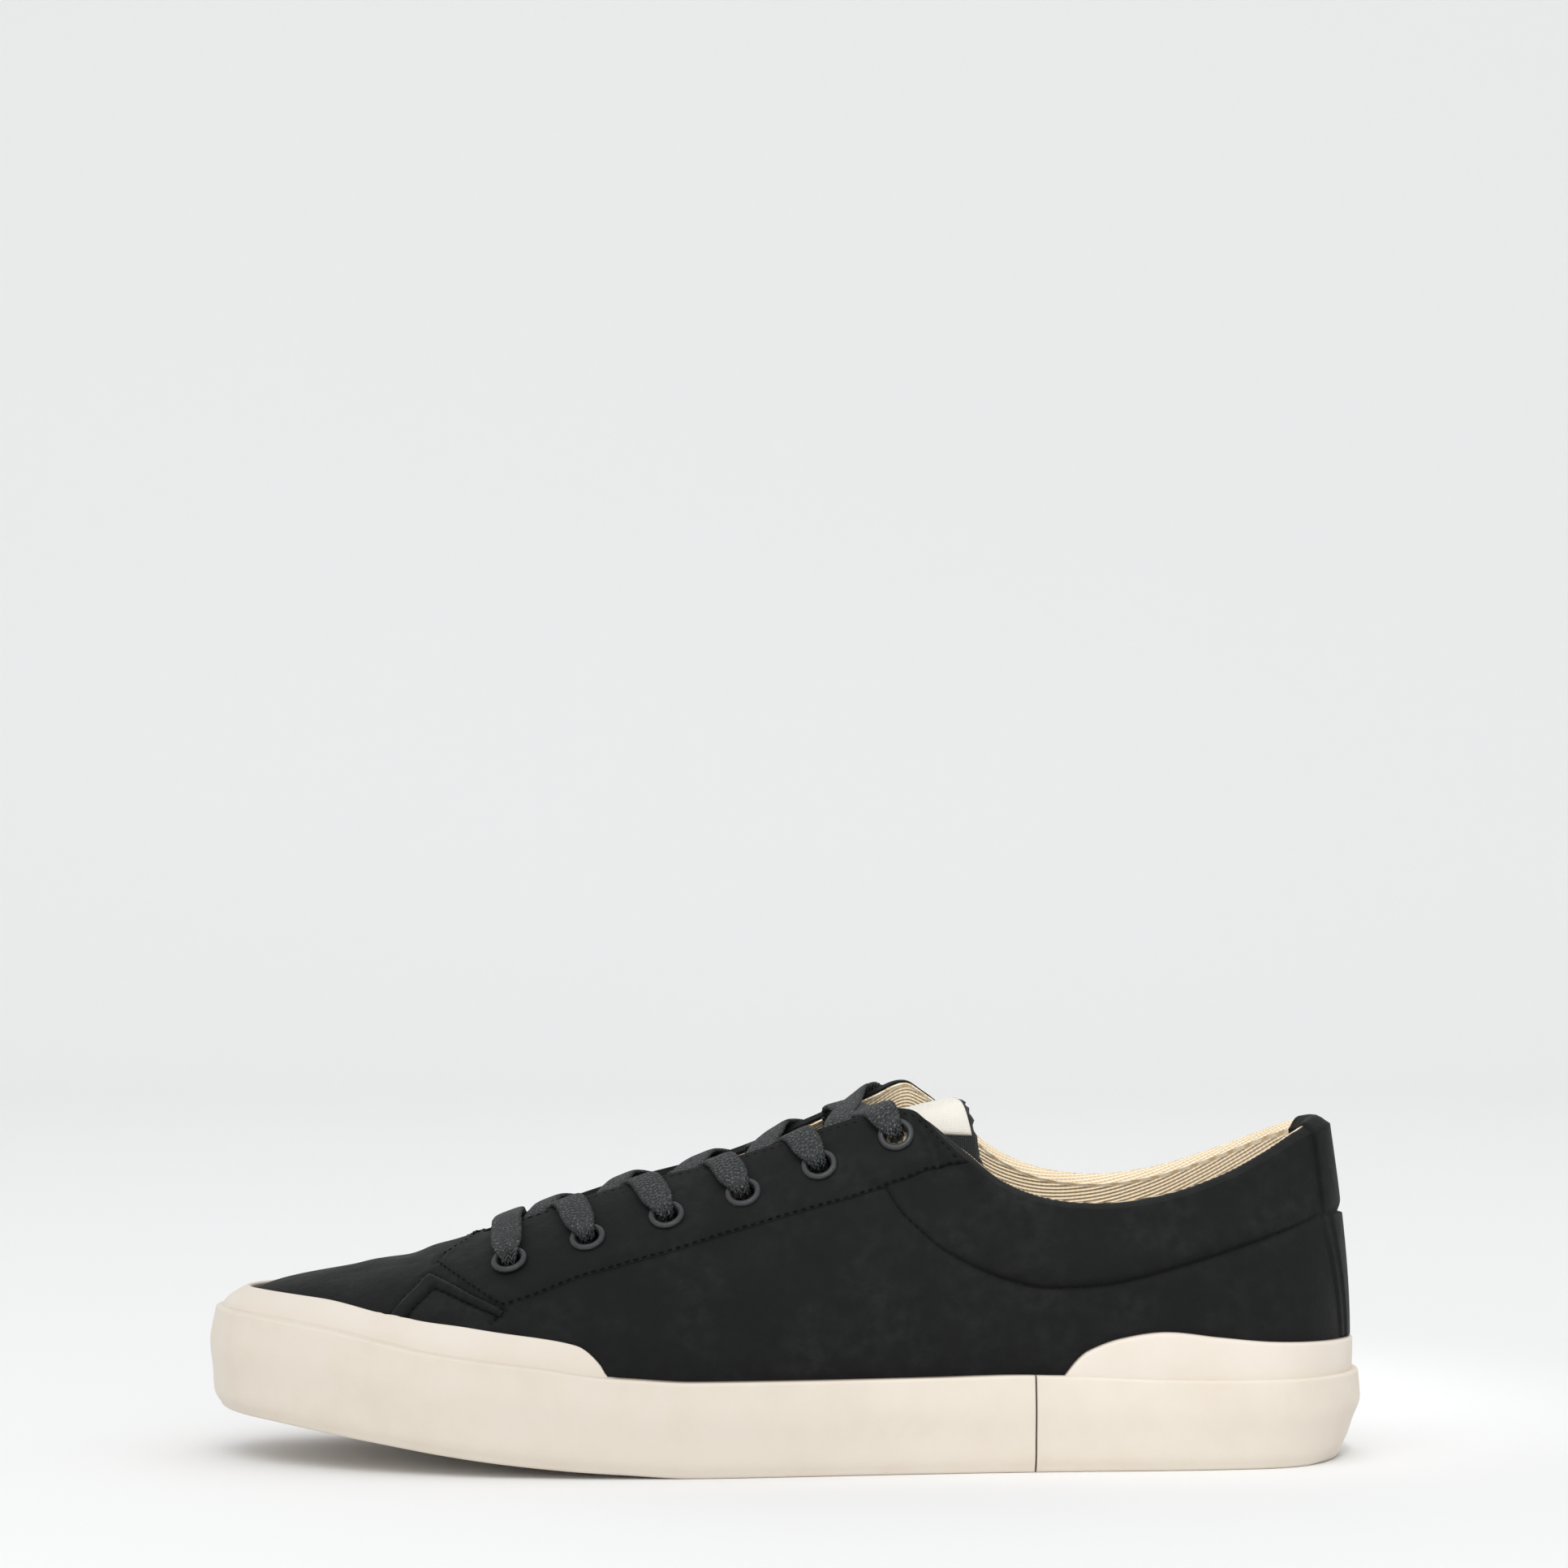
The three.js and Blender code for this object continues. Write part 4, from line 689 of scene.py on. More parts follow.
    def rim(self, u: Array, turns: Sequence[float] | Array, grow: float = 0.0) -> Array:
        """Points of the rolled top edge.

        Args:
            u: Stations in one row.
            turns: Shares of the way from the outer face to the inner face, for all or each.
            grow: How far the roll is moved out.

        Returns:
            Points by station and turn.
        """
        top, thick = np.ones_like(u), self.thickness(u, 1.0)
        outer = self.skin(u, top, grow)
        inner = self.skin(u, top, -thick - grow)
        walls = self.wall(u)
        up = unit(walls.point(top) - walls.point(0.96 * top))
        roll = grow + thick * ROLL_SHARE * self.openness(u) * (1 + self.collar_share(u)) / 2
        turns = np.broadcast_to(np.asarray(turns, float), (len(u), np.shape(turns)[-1]))
        t = turns[..., None]
        arc = up[:, None] * (roll[:, None] * np.sin(np.pi * turns))[..., None]
        return outer[:, None] * (1 - t) + inner[:, None] * t + arc

    def shifted(self, u: Array, v: Array, distance: Array | float) -> Array:
        """The shares v moved up the wall by a distance."""
        slope = self.wall(u).reach(v - self.STEP, v + self.STEP) / (2 * self.STEP)
        return v + distance / np.maximum(slope, 1e-6)


def deselect() -> None:
    """Leaves nothing selected."""
    bpy.ops.object.select_all(action="DESELECT")


def activate(piece: Piece) -> None:
    """Selects one piece and nothing besides."""
    deselect()
    piece.select_set(True)
    bpy.context.view_layer.objects.active = piece


@contextmanager
def editing(select: str = "") -> Iterator[None]:
    """Opens the active piece for editing, with all or none of it selected if that is asked."""
    bpy.ops.object.mode_set(mode="EDIT")
    if select:
        bpy.ops.mesh.select_all(action=select)
    yield
    bpy.ops.object.mode_set(mode="OBJECT")


def vectors_of(items: bpy.types.bpy_prop_collection, key: str) -> Array:
    """One vector of each of a mesh's points or faces, by row."""
    flat = np.empty(len(items) * 3, np.float32)
    items.foreach_get(key, flat)
    return flat.reshape(-1, 3)


def choose(mesh: bpy.types.Mesh, kind: str, chosen: Array) -> None:
    """Selects some points or faces of a mesh and nothing besides."""
    for name in ("vertices", "edges", "polygons"):
        items = getattr(mesh, name)
        items.foreach_set("select", chosen if name == kind else np.zeros(len(items), bool))


class Workbench:
    """What every piece is made with: grids laid on points, rings closed, edges finished."""

    MERGE = 0.00001

    @classmethod
    def lay_grid(
        cls, name: str, points: Array, uv: Optional[Array] = None, without: Optional[Array] = None,
        marks: Marks = None,
    ) -> Piece:
        """Adds a primitive grid and lays its points in their places.

        Args:
            name: The piece's name.
            points: The places by row and column.
            uv: Distances along the cloth or rubber by row and column, for its pattern.
            without: By row and column of faces, which ones are cut out.
            marks: Attributes by name, each by row and column.

        Returns:
            The piece, with what coincides merged.
        """
        rows, columns = points.shape[:2]
        deselect()
        bpy.ops.mesh.primitive_grid_add(x_subdivisions=columns - 1, y_subdivisions=rows - 1, size=1)
        piece = bpy.context.object
        mesh = piece.data
        piece.name = mesh.name = name
        steps = np.array([columns - 1, rows - 1])
        column, row = np.rint((vectors_of(mesh.vertices, "co")[:, :2] + 0.5) * steps).astype(int).T
        across, up = np.floor((vectors_of(mesh.polygons, "center")[:, :2] + 0.5) * steps).astype(int).T
        for key, values in (marks or {}).items():
            mark = mesh.attributes.new(key, "FLOAT", "POINT")
            mark.data.foreach_set("value", values[row, column].astype(np.float32))
        if uv is not None:
            corner = np.empty(len(mesh.loops), np.int32)
            mesh.loops.foreach_get("vertex_index", corner)
            laid = uv[row[corner], column[corner]].astype(np.float32)
            mesh.uv_layers.active.data.foreach_set("uv", laid.ravel())
        mesh.vertices.foreach_set("co", points[row, column].astype(np.float32).ravel())
        mesh.update()
        if without is not None:
            choose(mesh, "polygons", without[up, across])
            with editing():
                bpy.ops.mesh.delete(type="FACE")
        with editing("SELECT"):
            bpy.ops.mesh.remove_doubles(threshold=cls.MERGE)
        return piece

    @staticmethod
    def close_body(piece: Piece, smooth_degrees: float = 40.0) -> Piece:
        """Caps a piece's open ends, turns its faces outwards and shades it smooth."""
        activate(piece)
        with editing("DESELECT"):
            bpy.ops.mesh.select_mode(type="EDGE")
            bpy.ops.mesh.select_non_manifold(
                extend=False, use_wire=False, use_boundary=True, use_multi_face=False,
                use_non_contiguous=False, use_verts=False,
            )
            bpy.ops.mesh.fill_holes(sides=0)
            bpy.ops.mesh.select_mode(type="VERT")
            bpy.ops.mesh.select_all(action="SELECT")
            bpy.ops.mesh.normals_make_consistent(inside=False)
        bpy.ops.object.shade_smooth_by_angle(angle=math.radians(smooth_degrees))
        return piece

    @classmethod
    def ring_body(
        cls, name: str, rings: Array, closed: bool = False, without: Optional[Array] = None,
        marks: Marks = None, smooth_degrees: float = 40.0,
    ) -> Piece:
        """A closed body laid through rings of points.

        Args:
            name: The piece's name.
            rings: The places by ring and by point round it.
            closed: Whether the last ring joins the first.
            without: By ring and by point, which faces are left out.
            marks: Attributes by name, each by ring and point.
            smooth_degrees: Edges sharper than this stay sharp.

        Returns:
            The piece, with a pattern map in metres along and round it.
        """
        def wrapped(values: Array) -> Array:
            """The values with the first repeated where the body closes on itself."""
            values = np.concatenate([values, values[:, :1]], 1)
            return np.concatenate([values, values[:1]]) if closed else values

        points = wrapped(rings)
        uv = np.stack([lengths_along(points, 0), lengths_along(points, 1)], -1)
        wrapped_marks = {key: wrapped(values) for key, values in (marks or {}).items()}
        return cls.close_body(cls.lay_grid(name, points, uv, without, wrapped_marks), smooth_degrees)

    @staticmethod
    def cut(piece: Piece, cutter: Piece) -> None:
        """Cuts a closed body out of a piece."""
        activate(piece)
        modifier = piece.modifiers.new("holes", "BOOLEAN")
        modifier.operation = "DIFFERENCE"
        modifier.object = cutter
        modifier.solver = "EXACT"
        bpy.ops.object.modifier_apply(modifier=modifier.name)

    @staticmethod
    def copies(name: str, template: Piece, places: Sequence[Matrix]) -> Piece:
        """One joined mesh of a modelled shape repeated at many places.

        Args:
            name: The piece's name.
            template: The shape, modelled once at the origin.
            places: Where each copy goes.

        Returns:
            The joined piece.
        """
        source = template.data
        corners = np.array([v.co for v in source.vertices], float)
        faces = [tuple(p.vertices) for p in source.polygons]
        vertices: list[Array] = []
        polygons: list[tuple[int, ...]] = []
        for number, place in enumerate(places):
            turn = np.array(place, float)
            vertices.append(corners @ turn[:3, :3].T + turn[:3, 3])
            base = number * len(corners)
            polygons.extend(tuple(base + i for i in face) for face in faces)
        mesh = bpy.data.meshes.new(name)
        mesh.from_pydata(np.concatenate(vertices).tolist(), [], polygons)
        mesh.polygons.foreach_set("use_smooth", np.ones(len(polygons), bool))
        mesh.update()
        piece = bpy.data.objects.new(name, mesh)
        bpy.context.scene.collection.objects.link(piece)
        return piece

    @staticmethod
    def own(piece: Piece, material: Finish, slot: str, *nodes: str) -> Piece:
        """Gives a piece its finish, puts it under the body and hides the solids that it stands for."""
        if not piece.data.materials:
            piece.data.materials.append(material)
        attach(piece, BODY)
        if nodes:
            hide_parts(*nodes)
        log.info("%s: %d faces", piece.name, len(piece.data.polygons))
        return piece


class Graph:
    """A finish's nodes, made and joined with short calls."""

    BAND = 0.31416

    def __init__(self, name: str) -> None:
        """Starts an empty finish with one shader."""
        self.material = bpy.data.materials.new(name)
        self.material.use_nodes = True
        self.tree = self.material.node_tree
        self.shader = self.tree.nodes["Principled BSDF"]

    def add(self, kind: str, inputs: Optional[dict] = None, **settings: object) -> bpy.types.Node:
        """Adds a node of a kind, with links or plain values for its inputs, and its settings."""
        node = self.tree.nodes.new("ShaderNode" + kind)
        for key, value in settings.items():
            setattr(node, key, value)
        for key, value in (inputs or {}).items():
            self.feed(node.inputs[key], value)
        return node

    def feed(self, socket: Socket, value: object) -> None:
        """Links an output to a socket, or sets the socket's own value."""
        if isinstance(value, Socket):
            self.tree.links.new(value, socket)
        else:
            socket.default_value = value

    def shade(self, **values: object) -> None:
        """Sets the shader's sockets, their names written with underscores."""
        for key, value in values.items():
            self.feed(self.shader.inputs[key.replace("_", " ")], value)

    def place(self, source: str = "Object") -> Socket:
        """Where the surface point is, on the object or on its pattern map."""
        return self.add("TexCoord").outputs[source]

    def mark(self, name: str) -> Socket:
        """The strength of a mark that the surface carries."""
        return self.add("Attribute", attribute_name=name).outputs["Fac"]

    def noise(self, place: Socket, size: float, detail: float = 3.0, **inputs: object) -> Socket:
        """Soft random values whose blotches have a size in metres."""
        return self.add(
            "TexNoise", {"Vector": place, "Scale": 1 / size, "Detail": detail, **inputs}
        ).outputs["Fac"]

    def bands(self, place: Socket, size: float, way: str, bent: float = 0.8, fine: float = 1.0) -> Socket:
        """Soft bands of a width in metres along one way, a little crooked."""
        inputs = {
            "Vector": place, "Scale": self.BAND / size, "Distortion": bent, "Detail": 1.0,
            "Detail Scale": fine,
        }
        return self.add("TexWave", inputs, wave_type="BANDS", bands_direction=way).outputs["Fac"]

    def math(self, operation: str, *values: object) -> Socket:
        """A sum on one to three numbers."""
        node = self.add("Math", operation=operation)
        for socket, value in zip(node.inputs, values):
            self.feed(socket, value)
        return node.outputs[0]

    def span(
        self, value: Socket, low: float, high: float, to_low: float = 0.0, to_high: float = 1.0
    ) -> Socket:
        """A value taken smoothly from one range to another."""
        node = self.add(
            "MapRange",
            {"Value": value, "From Min": low, "From Max": high, "To Min": to_low, "To Max": to_high},
            interpolation_type="SMOOTHSTEP",
        )
        return node.outputs[0]

    def mix(self, share: object, first: object, second: object) -> Socket:
        """A colour between two, by a share."""
        node = self.add("Mix", data_type="RGBA")
        self.feed(node.inputs[0], share)
        self.feed(node.inputs[6], first)
        self.feed(node.inputs[7], second)
        return node.outputs[2]

    def bump(self, height: Socket, depth: float, under: Optional[Socket] = None) -> Socket:
        """Relief of a depth in metres, on top of other relief."""
        node = self.add("Bump", {"Height": height, "Distance": depth, "Strength": 1.0})
        if under is not None:
            self.feed(node.inputs["Normal"], under)
        return node.outputs[0]


@dataclass(frozen=True)
class Nubuck:
    """Brushed leather with a fine nap, a little paler where it is rubbed, with painted shade along its
    seams.
    """

    name: str = "black_nubuck"
    color: Color = (0.0085, 0.0089, 0.0089, 1.0)
    rubbed: Color = (0.0190, 0.0198, 0.0196, 1.0)
    pore: Color = (0.002, 0.002, 0.002, 1.0)
    # painted shade colour, laid along the seams
    seam: Color = (0.0012, 0.0012, 0.0012, 1.0)
    grain_size: float = 0.0006
    grain_depth: float = 0.00012
    cloud_size: float = 0.018

    def material(self) -> Finish:
        """Builds the finish."""
        graph = Graph(self.name)
        place = graph.place()
        grain = graph.noise(place, self.grain_size, 4.0, Roughness=0.62)
        cloud = graph.noise(place, self.cloud_size)
        nap = graph.noise(place, self.grain_size * 6, 2.0)
        share = graph.math("MULTIPLY", graph.span(cloud, 0.3, 0.75), graph.span(nap, 0.25, 0.8))
        tone = graph.mix(share, self.color, self.rubbed)
        grained = graph.mix(graph.span(grain, 0.35, 0.72), graph.mix(0.45, tone, self.pore), tone)
        # painted shade: the seams' mark darkens the leather towards a near-black
        grained = graph.mix(graph.span(graph.mark("seam"), 0.15, 0.9, 0.0, 0.62), grained, self.seam)
        pores = graph.bump(grain, self.grain_depth)
        soft = graph.bump(nap, self.grain_depth * 2, pores)
        graph.shade(
            Base_Color=grained, Roughness=graph.span(grain, 0.3, 0.7, 0.7, 0.88), Normal=soft,
            Specular_IOR_Level=0.14, Sheen_Weight=0.05, Sheen_Roughness=0.4,
        )
        return graph.material


@dataclass(frozen=True)
class Rubber:
    """Moulded off-white rubber, mottled and a little yellowed, with a brown line of glue and painted shade
    where it is marked.
    """

    name: str
    color: Color = (0.70, 0.637, 0.55, 1.0)
    aged: Color = (0.675, 0.60, 0.505, 1.0)
    dirt: Color = (0.42, 0.30, 0.19, 1.0)
    # dark brown line where the rubber meets the leather and at the joints: partly glue, partly painted
    # shade
    glue_and_shade: Color = (0.10, 0.055, 0.03, 1.0)
    mottle_size: float = 0.022
    speck_size: float = 0.0013
    grain_depth: float = 0.00003

    def material(self) -> Finish:
        """Builds the finish."""
        graph = Graph(self.name)
        place = graph.place()
        mottle = graph.noise(place, self.mottle_size, 4.0, Roughness=0.6)
        specks = graph.noise(place, self.speck_size, 2.0)
        grain = graph.noise(place, 0.0006)
        tone = graph.mix(graph.span(mottle, 0.38, 0.75), self.color, self.aged)
        spotted = graph.mix(graph.span(specks, 0.76, 0.86, 0.0, 0.5), tone, self.dirt)
        # glue and painted shade: the marked edges go towards the dark brown
        glued_and_shaded = graph.mix(graph.mark("glue_and_shade"), spotted, self.glue_and_shade)
        relief = graph.bump(mottle, self.grain_depth * 8, graph.bump(grain, self.grain_depth))
        graph.shade(
            Base_Color=glued_and_shaded, Roughness=graph.span(mottle, 0.3, 0.7, 0.5, 0.62), Normal=relief,
            Specular_IOR_Level=0.35,
        )
        return graph.material


@dataclass(frozen=True)
class Twill:
    """Cotton cloth with raised diagonal ribs."""

    name: str
    color: Color = (0.97, 0.86, 0.67, 1.0)
    shadow: Color = (0.74, 0.56, 0.34, 1.0)
    rib: float = 0.0011
    yarn: float = 0.0009
    slant: float = 0.2
    depth: float = 0.0003

    def material(self) -> Finish:
        """Builds the finish."""
        graph = Graph(self.name)
        place = graph.place("UV")
        turned, twisted = (
            graph.add("Mapping", {"Vector": place, "Rotation": (0.0, 0.0, angle)}).outputs[0]
            for angle in (self.slant, self.slant + 0.6)
        )
        ribs = graph.bands(turned, self.rib, "Y", 0.35, 2.0)
        yarns = graph.bands(twisted, self.yarn, "X")
        fuzz = graph.noise(graph.place(), 0.0005)
        cloud = graph.noise(graph.place(), 0.02, 2.0)
        shade = graph.math("MULTIPLY", graph.span(ribs, 0.05, 0.6), graph.span(yarns, 0.0, 0.45, 0.75, 1.0))
        cloth = graph.mix(shade, self.shadow, self.color)
        tinted = graph.mix(graph.span(cloud, 0.4, 0.8, 0.0, 0.3), cloth, self.shadow)
        ribbed = graph.bump(yarns, self.depth * 0.35, graph.bump(ribs, self.depth))
        graph.shade(
            Base_Color=tinted, Roughness=0.92, Normal=graph.bump(fuzz, self.depth * 0.25, ribbed),
            Specular_IOR_Level=0.2, Sheen_Weight=0.1,
        )
        return graph.material


@dataclass(frozen=True)
class Thread:
    """Spun or braided thread with a thin gloss."""

    name: str
    color: Color
    light: Color
    roughness: float = 0.5
    strand: float = 0.0004

    def material(self) -> Finish:
        """Builds the finish."""
        graph = Graph(self.name)
        place = graph.place()
        fibre = graph.noise(place, self.strand)
        glint = graph.noise(place, self.strand * 2.5, 1.0)
        tone = graph.mix(graph.span(fibre, 0.35, 0.7), self.color, self.light)
        gloss = graph.span(glint, 0.4, 0.75, self.roughness + 0.2, self.roughness - 0.22)
        graph.shade(Base_Color=tone, Roughness=gloss, Normal=graph.bump(fibre, self.strand * 0.3),
                    Specular_IOR_Level=0.12)
        return graph.material


@dataclass(frozen=True)
class Cloth:
    """Plainly woven cloth."""

    name: str
    color: Color
    shadow: Color
    yarn: float = 0.0005
    depth: float = 0.00012

    def material(self) -> Finish:
        """Builds the finish."""
        graph = Graph(self.name)
        place = graph.place("UV")
        weave = graph.math("MULTIPLY", *(graph.bands(place, self.yarn, way) for way in ("X", "Y")))
        fuzz = graph.noise(graph.place(), self.yarn)
        tone = graph.mix(graph.span(weave, 0.05, 0.6), self.shadow, self.color)
        relief = graph.bump(fuzz, self.depth * 0.6, graph.bump(weave, self.depth))
        graph.shade(
            Base_Color=tone, Roughness=0.9, Normal=relief, Specular_IOR_Level=0.25, Sheen_Weight=0.12
        )
        return graph.material


@dataclass(frozen=True)
class Braid:
    """A flat lace braided in chevrons, with painted shade between its strands, waxed where it enters the
    eyelets.
    """

    name: str = "lace_braid"
    color: Color = (0.027, 0.033, 0.033, 1.0)
    # painted shade colour for the gaps between the strands
    gap: Color = (0.0015, 0.002, 0.002, 1.0)
    pale: Color = (0.20, 0.225, 0.225, 1.0)
    strand: float = 0.0015
    column: float = 0.0013
    depth: float = 0.0005

    def material(self) -> Finish:
        """Builds the finish."""
        graph = Graph(self.name)
        split = graph.add("SeparateXYZ", {"Vector": graph.place("UV")})
        along, across = split.outputs[0], split.outputs[1]
        zigzag = graph.math("PINGPONG", across, self.column)
        steps = graph.math("DIVIDE", along, self.strand)
        slanted = graph.math("ADD", steps, graph.math("DIVIDE", zigzag, self.strand * 1.1))
        wave = graph.math("SINE", graph.math("MULTIPLY", slanted, 2 * math.pi))
        ridge = graph.math("POWER", graph.math("MULTIPLY_ADD", wave, 0.5, 0.5), 1.1)
        seam = graph.math("PINGPONG", across, self.column / 2)
        crest = graph.span(seam, 0.0, self.column * 0.22, 0.25, 1.0)
        height = graph.math("MULTIPLY", ridge, crest)
        fibre = graph.noise(graph.place(), 0.00025)
        tint = graph.noise(graph.place(), 0.0013, 2.0)
        yarn = graph.mix(graph.span(fibre, 0.4, 0.75), self.color, self.pale)
        mixed = graph.mix(graph.span(tint, 0.35, 0.7), yarn, self.color)
        # painted shade: the low places between the strands go towards the near-black gap colour
        tone = graph.mix(graph.span(height, 0.08, 0.6), self.gap, mixed)
        dull = graph.span(fibre, 0.3, 0.7, 0.85, 0.6)
        waxed = graph.math("MULTIPLY", graph.span(graph.mark("pinch"), 0.04, 0.3), 0.5)
        gloss = graph.math("SUBTRACT", dull, waxed)
        relief = graph.bump(fibre, self.depth * 0.3, graph.bump(height, self.depth))
        graph.shade(Base_Color=tone, Roughness=gloss, Normal=relief, Specular_IOR_Level=0.5)
        return graph.material


@dataclass(frozen=True)
class Paint:
    """Matt paint on thin metal, rubbed a little here and there."""

    name: str = "eyelet_black"
    color: Color = (0.016, 0.018, 0.019, 1.0)
    rubbed: Color = (0.05, 0.054, 0.056, 1.0)

    def material(self) -> Finish:
        """Builds the finish."""
        graph = Graph(self.name)
        place = graph.place()
        wear = graph.noise(place, 0.0012, 4.0)
        tone = graph.mix(graph.span(wear, 0.55, 0.8), self.color, self.rubbed)
        graph.shade(Base_Color=tone, Roughness=graph.span(wear, 0.3, 0.7, 0.38, 0.55),
                    Normal=graph.bump(wear, 0.00002), Specular_IOR_Level=0.5)
        return graph.material


@dataclass(frozen=True)
class Studio:
    """The floor, the light and the camera.

    Attributes:
        camera_height: The lens over the floor.
        camera_distance: From the lens to the middle of the shoe.
        frame_width: What the frame takes in at that distance.
    """

    camera_height: float = 0.172
    camera_distance: float = 1.4
    frame_width: float = 0.4025
    floor_size: float = 5.0
    wall_distance: float = 1.6
    sweep_radius: float = 0.9

    def build(self) -> None:
        """Sets up the scene round the shoe."""
        self.add_camera()
        self.add_floor()
        self.add_lights()

    def add_camera(self) -> None:
        """A level camera that looks at the outer side."""
        data = bpy.data.cameras.new("camera")
        data.sensor_width = 36.0
        data.lens = data.sensor_width * self.camera_distance / self.frame_width
        data.clip_end = 20.0
        camera = bpy.data.objects.new("camera", data)
        camera.location = (0.0, -self.camera_distance, self.camera_height)
        camera.rotation_euler = (math.radians(90.0), 0.0, 0.0)
        bpy.context.scene.collection.objects.link(camera)
        bpy.context.scene.camera = camera

    def add_floor(self) -> None:
        """A pale floor that sweeps up into the backdrop."""
        rows, columns = 40, 4
        turn = np.linspace(0, math.pi / 2, rows - 2)
        front = -self.floor_size / 2
        y = np.concatenate([[front], self.wall_distance + self.sweep_radius * np.sin(turn),
                            [self.wall_distance + self.sweep_radius]])
        z = np.concatenate([[0.0], self.sweep_radius * (1 - np.cos(turn)), [self.floor_size]])
        x = np.linspace(-self.floor_size, self.floor_size, columns)
        points = np.stack(np.broadcast_arrays(x[None, :], y[:, None], z[:, None]), -1)
        floor = Workbench.lay_grid("floor", points)
        bpy.ops.object.shade_smooth()
        graph = Graph("pale_floor")
        haze = graph.noise(graph.place(), 0.6, 2.0)
        graph.shade(Base_Color=graph.mix(haze, (0.855, 0.852, 0.85, 1.0), (0.865, 0.862, 0.86, 1.0)),
                    Roughness=0.75, Specular_IOR_Level=0.25)
        floor.data.materials.append(graph.material)

    def add_lights(self) -> None:
        """A large soft light overhead, softer ones round the shoe, and a spot into its opening."""
        shoe = (0.0, 0.0, 0.03)
        self.add_light("key", "AREA", (-0.35, -1.0, 1.6), shoe, 7.5, size=1.2)
        self.add_light("front", "AREA", (0.4, -2.2, 0.9), shoe, 4.6, size=1.8)
        self.add_light("low", "AREA", (-0.9, -1.5, 0.22), shoe, 2.0, size=0.7)
        self.add_light("back", "AREA", (0.3, 1.1, 1.4), shoe, 1.6, size=1.2)
        self.add_light(
            "opening", "SPOT", (0.16, -0.75, 0.95), (0.085, 0.03, 0.1), 84.0,
            spot_size=math.radians(7.6), spot_blend=1.0, shadow_soft_size=0.12,
        )
        world = bpy.data.worlds.new("studio")
        world.use_nodes = True
        background = world.node_tree.nodes["Background"]
        background.inputs["Color"].default_value = (0.98, 0.99, 1.0, 1.0)
        background.inputs["Strength"].default_value = 0.92
        bpy.context.scene.world = world
        bpy.context.scene.view_settings.view_transform = "Standard"

    @staticmethod
    def add_light(
        name: str, kind: str, place: Place, target: Place, power: float, **settings: float
    ) -> None:
        """One light that faces a target."""
        data = bpy.data.lights.new(name, kind)
        data.energy = power
        for key, value in settings.items():
            setattr(data, key, value)
        light = bpy.data.objects.new(name, data)
        light.location = place
        light.rotation_euler = (Vector(target) - Vector(place)).to_track_quat("-Z", "Y").to_euler()
        bpy.context.scene.collection.objects.link(light)


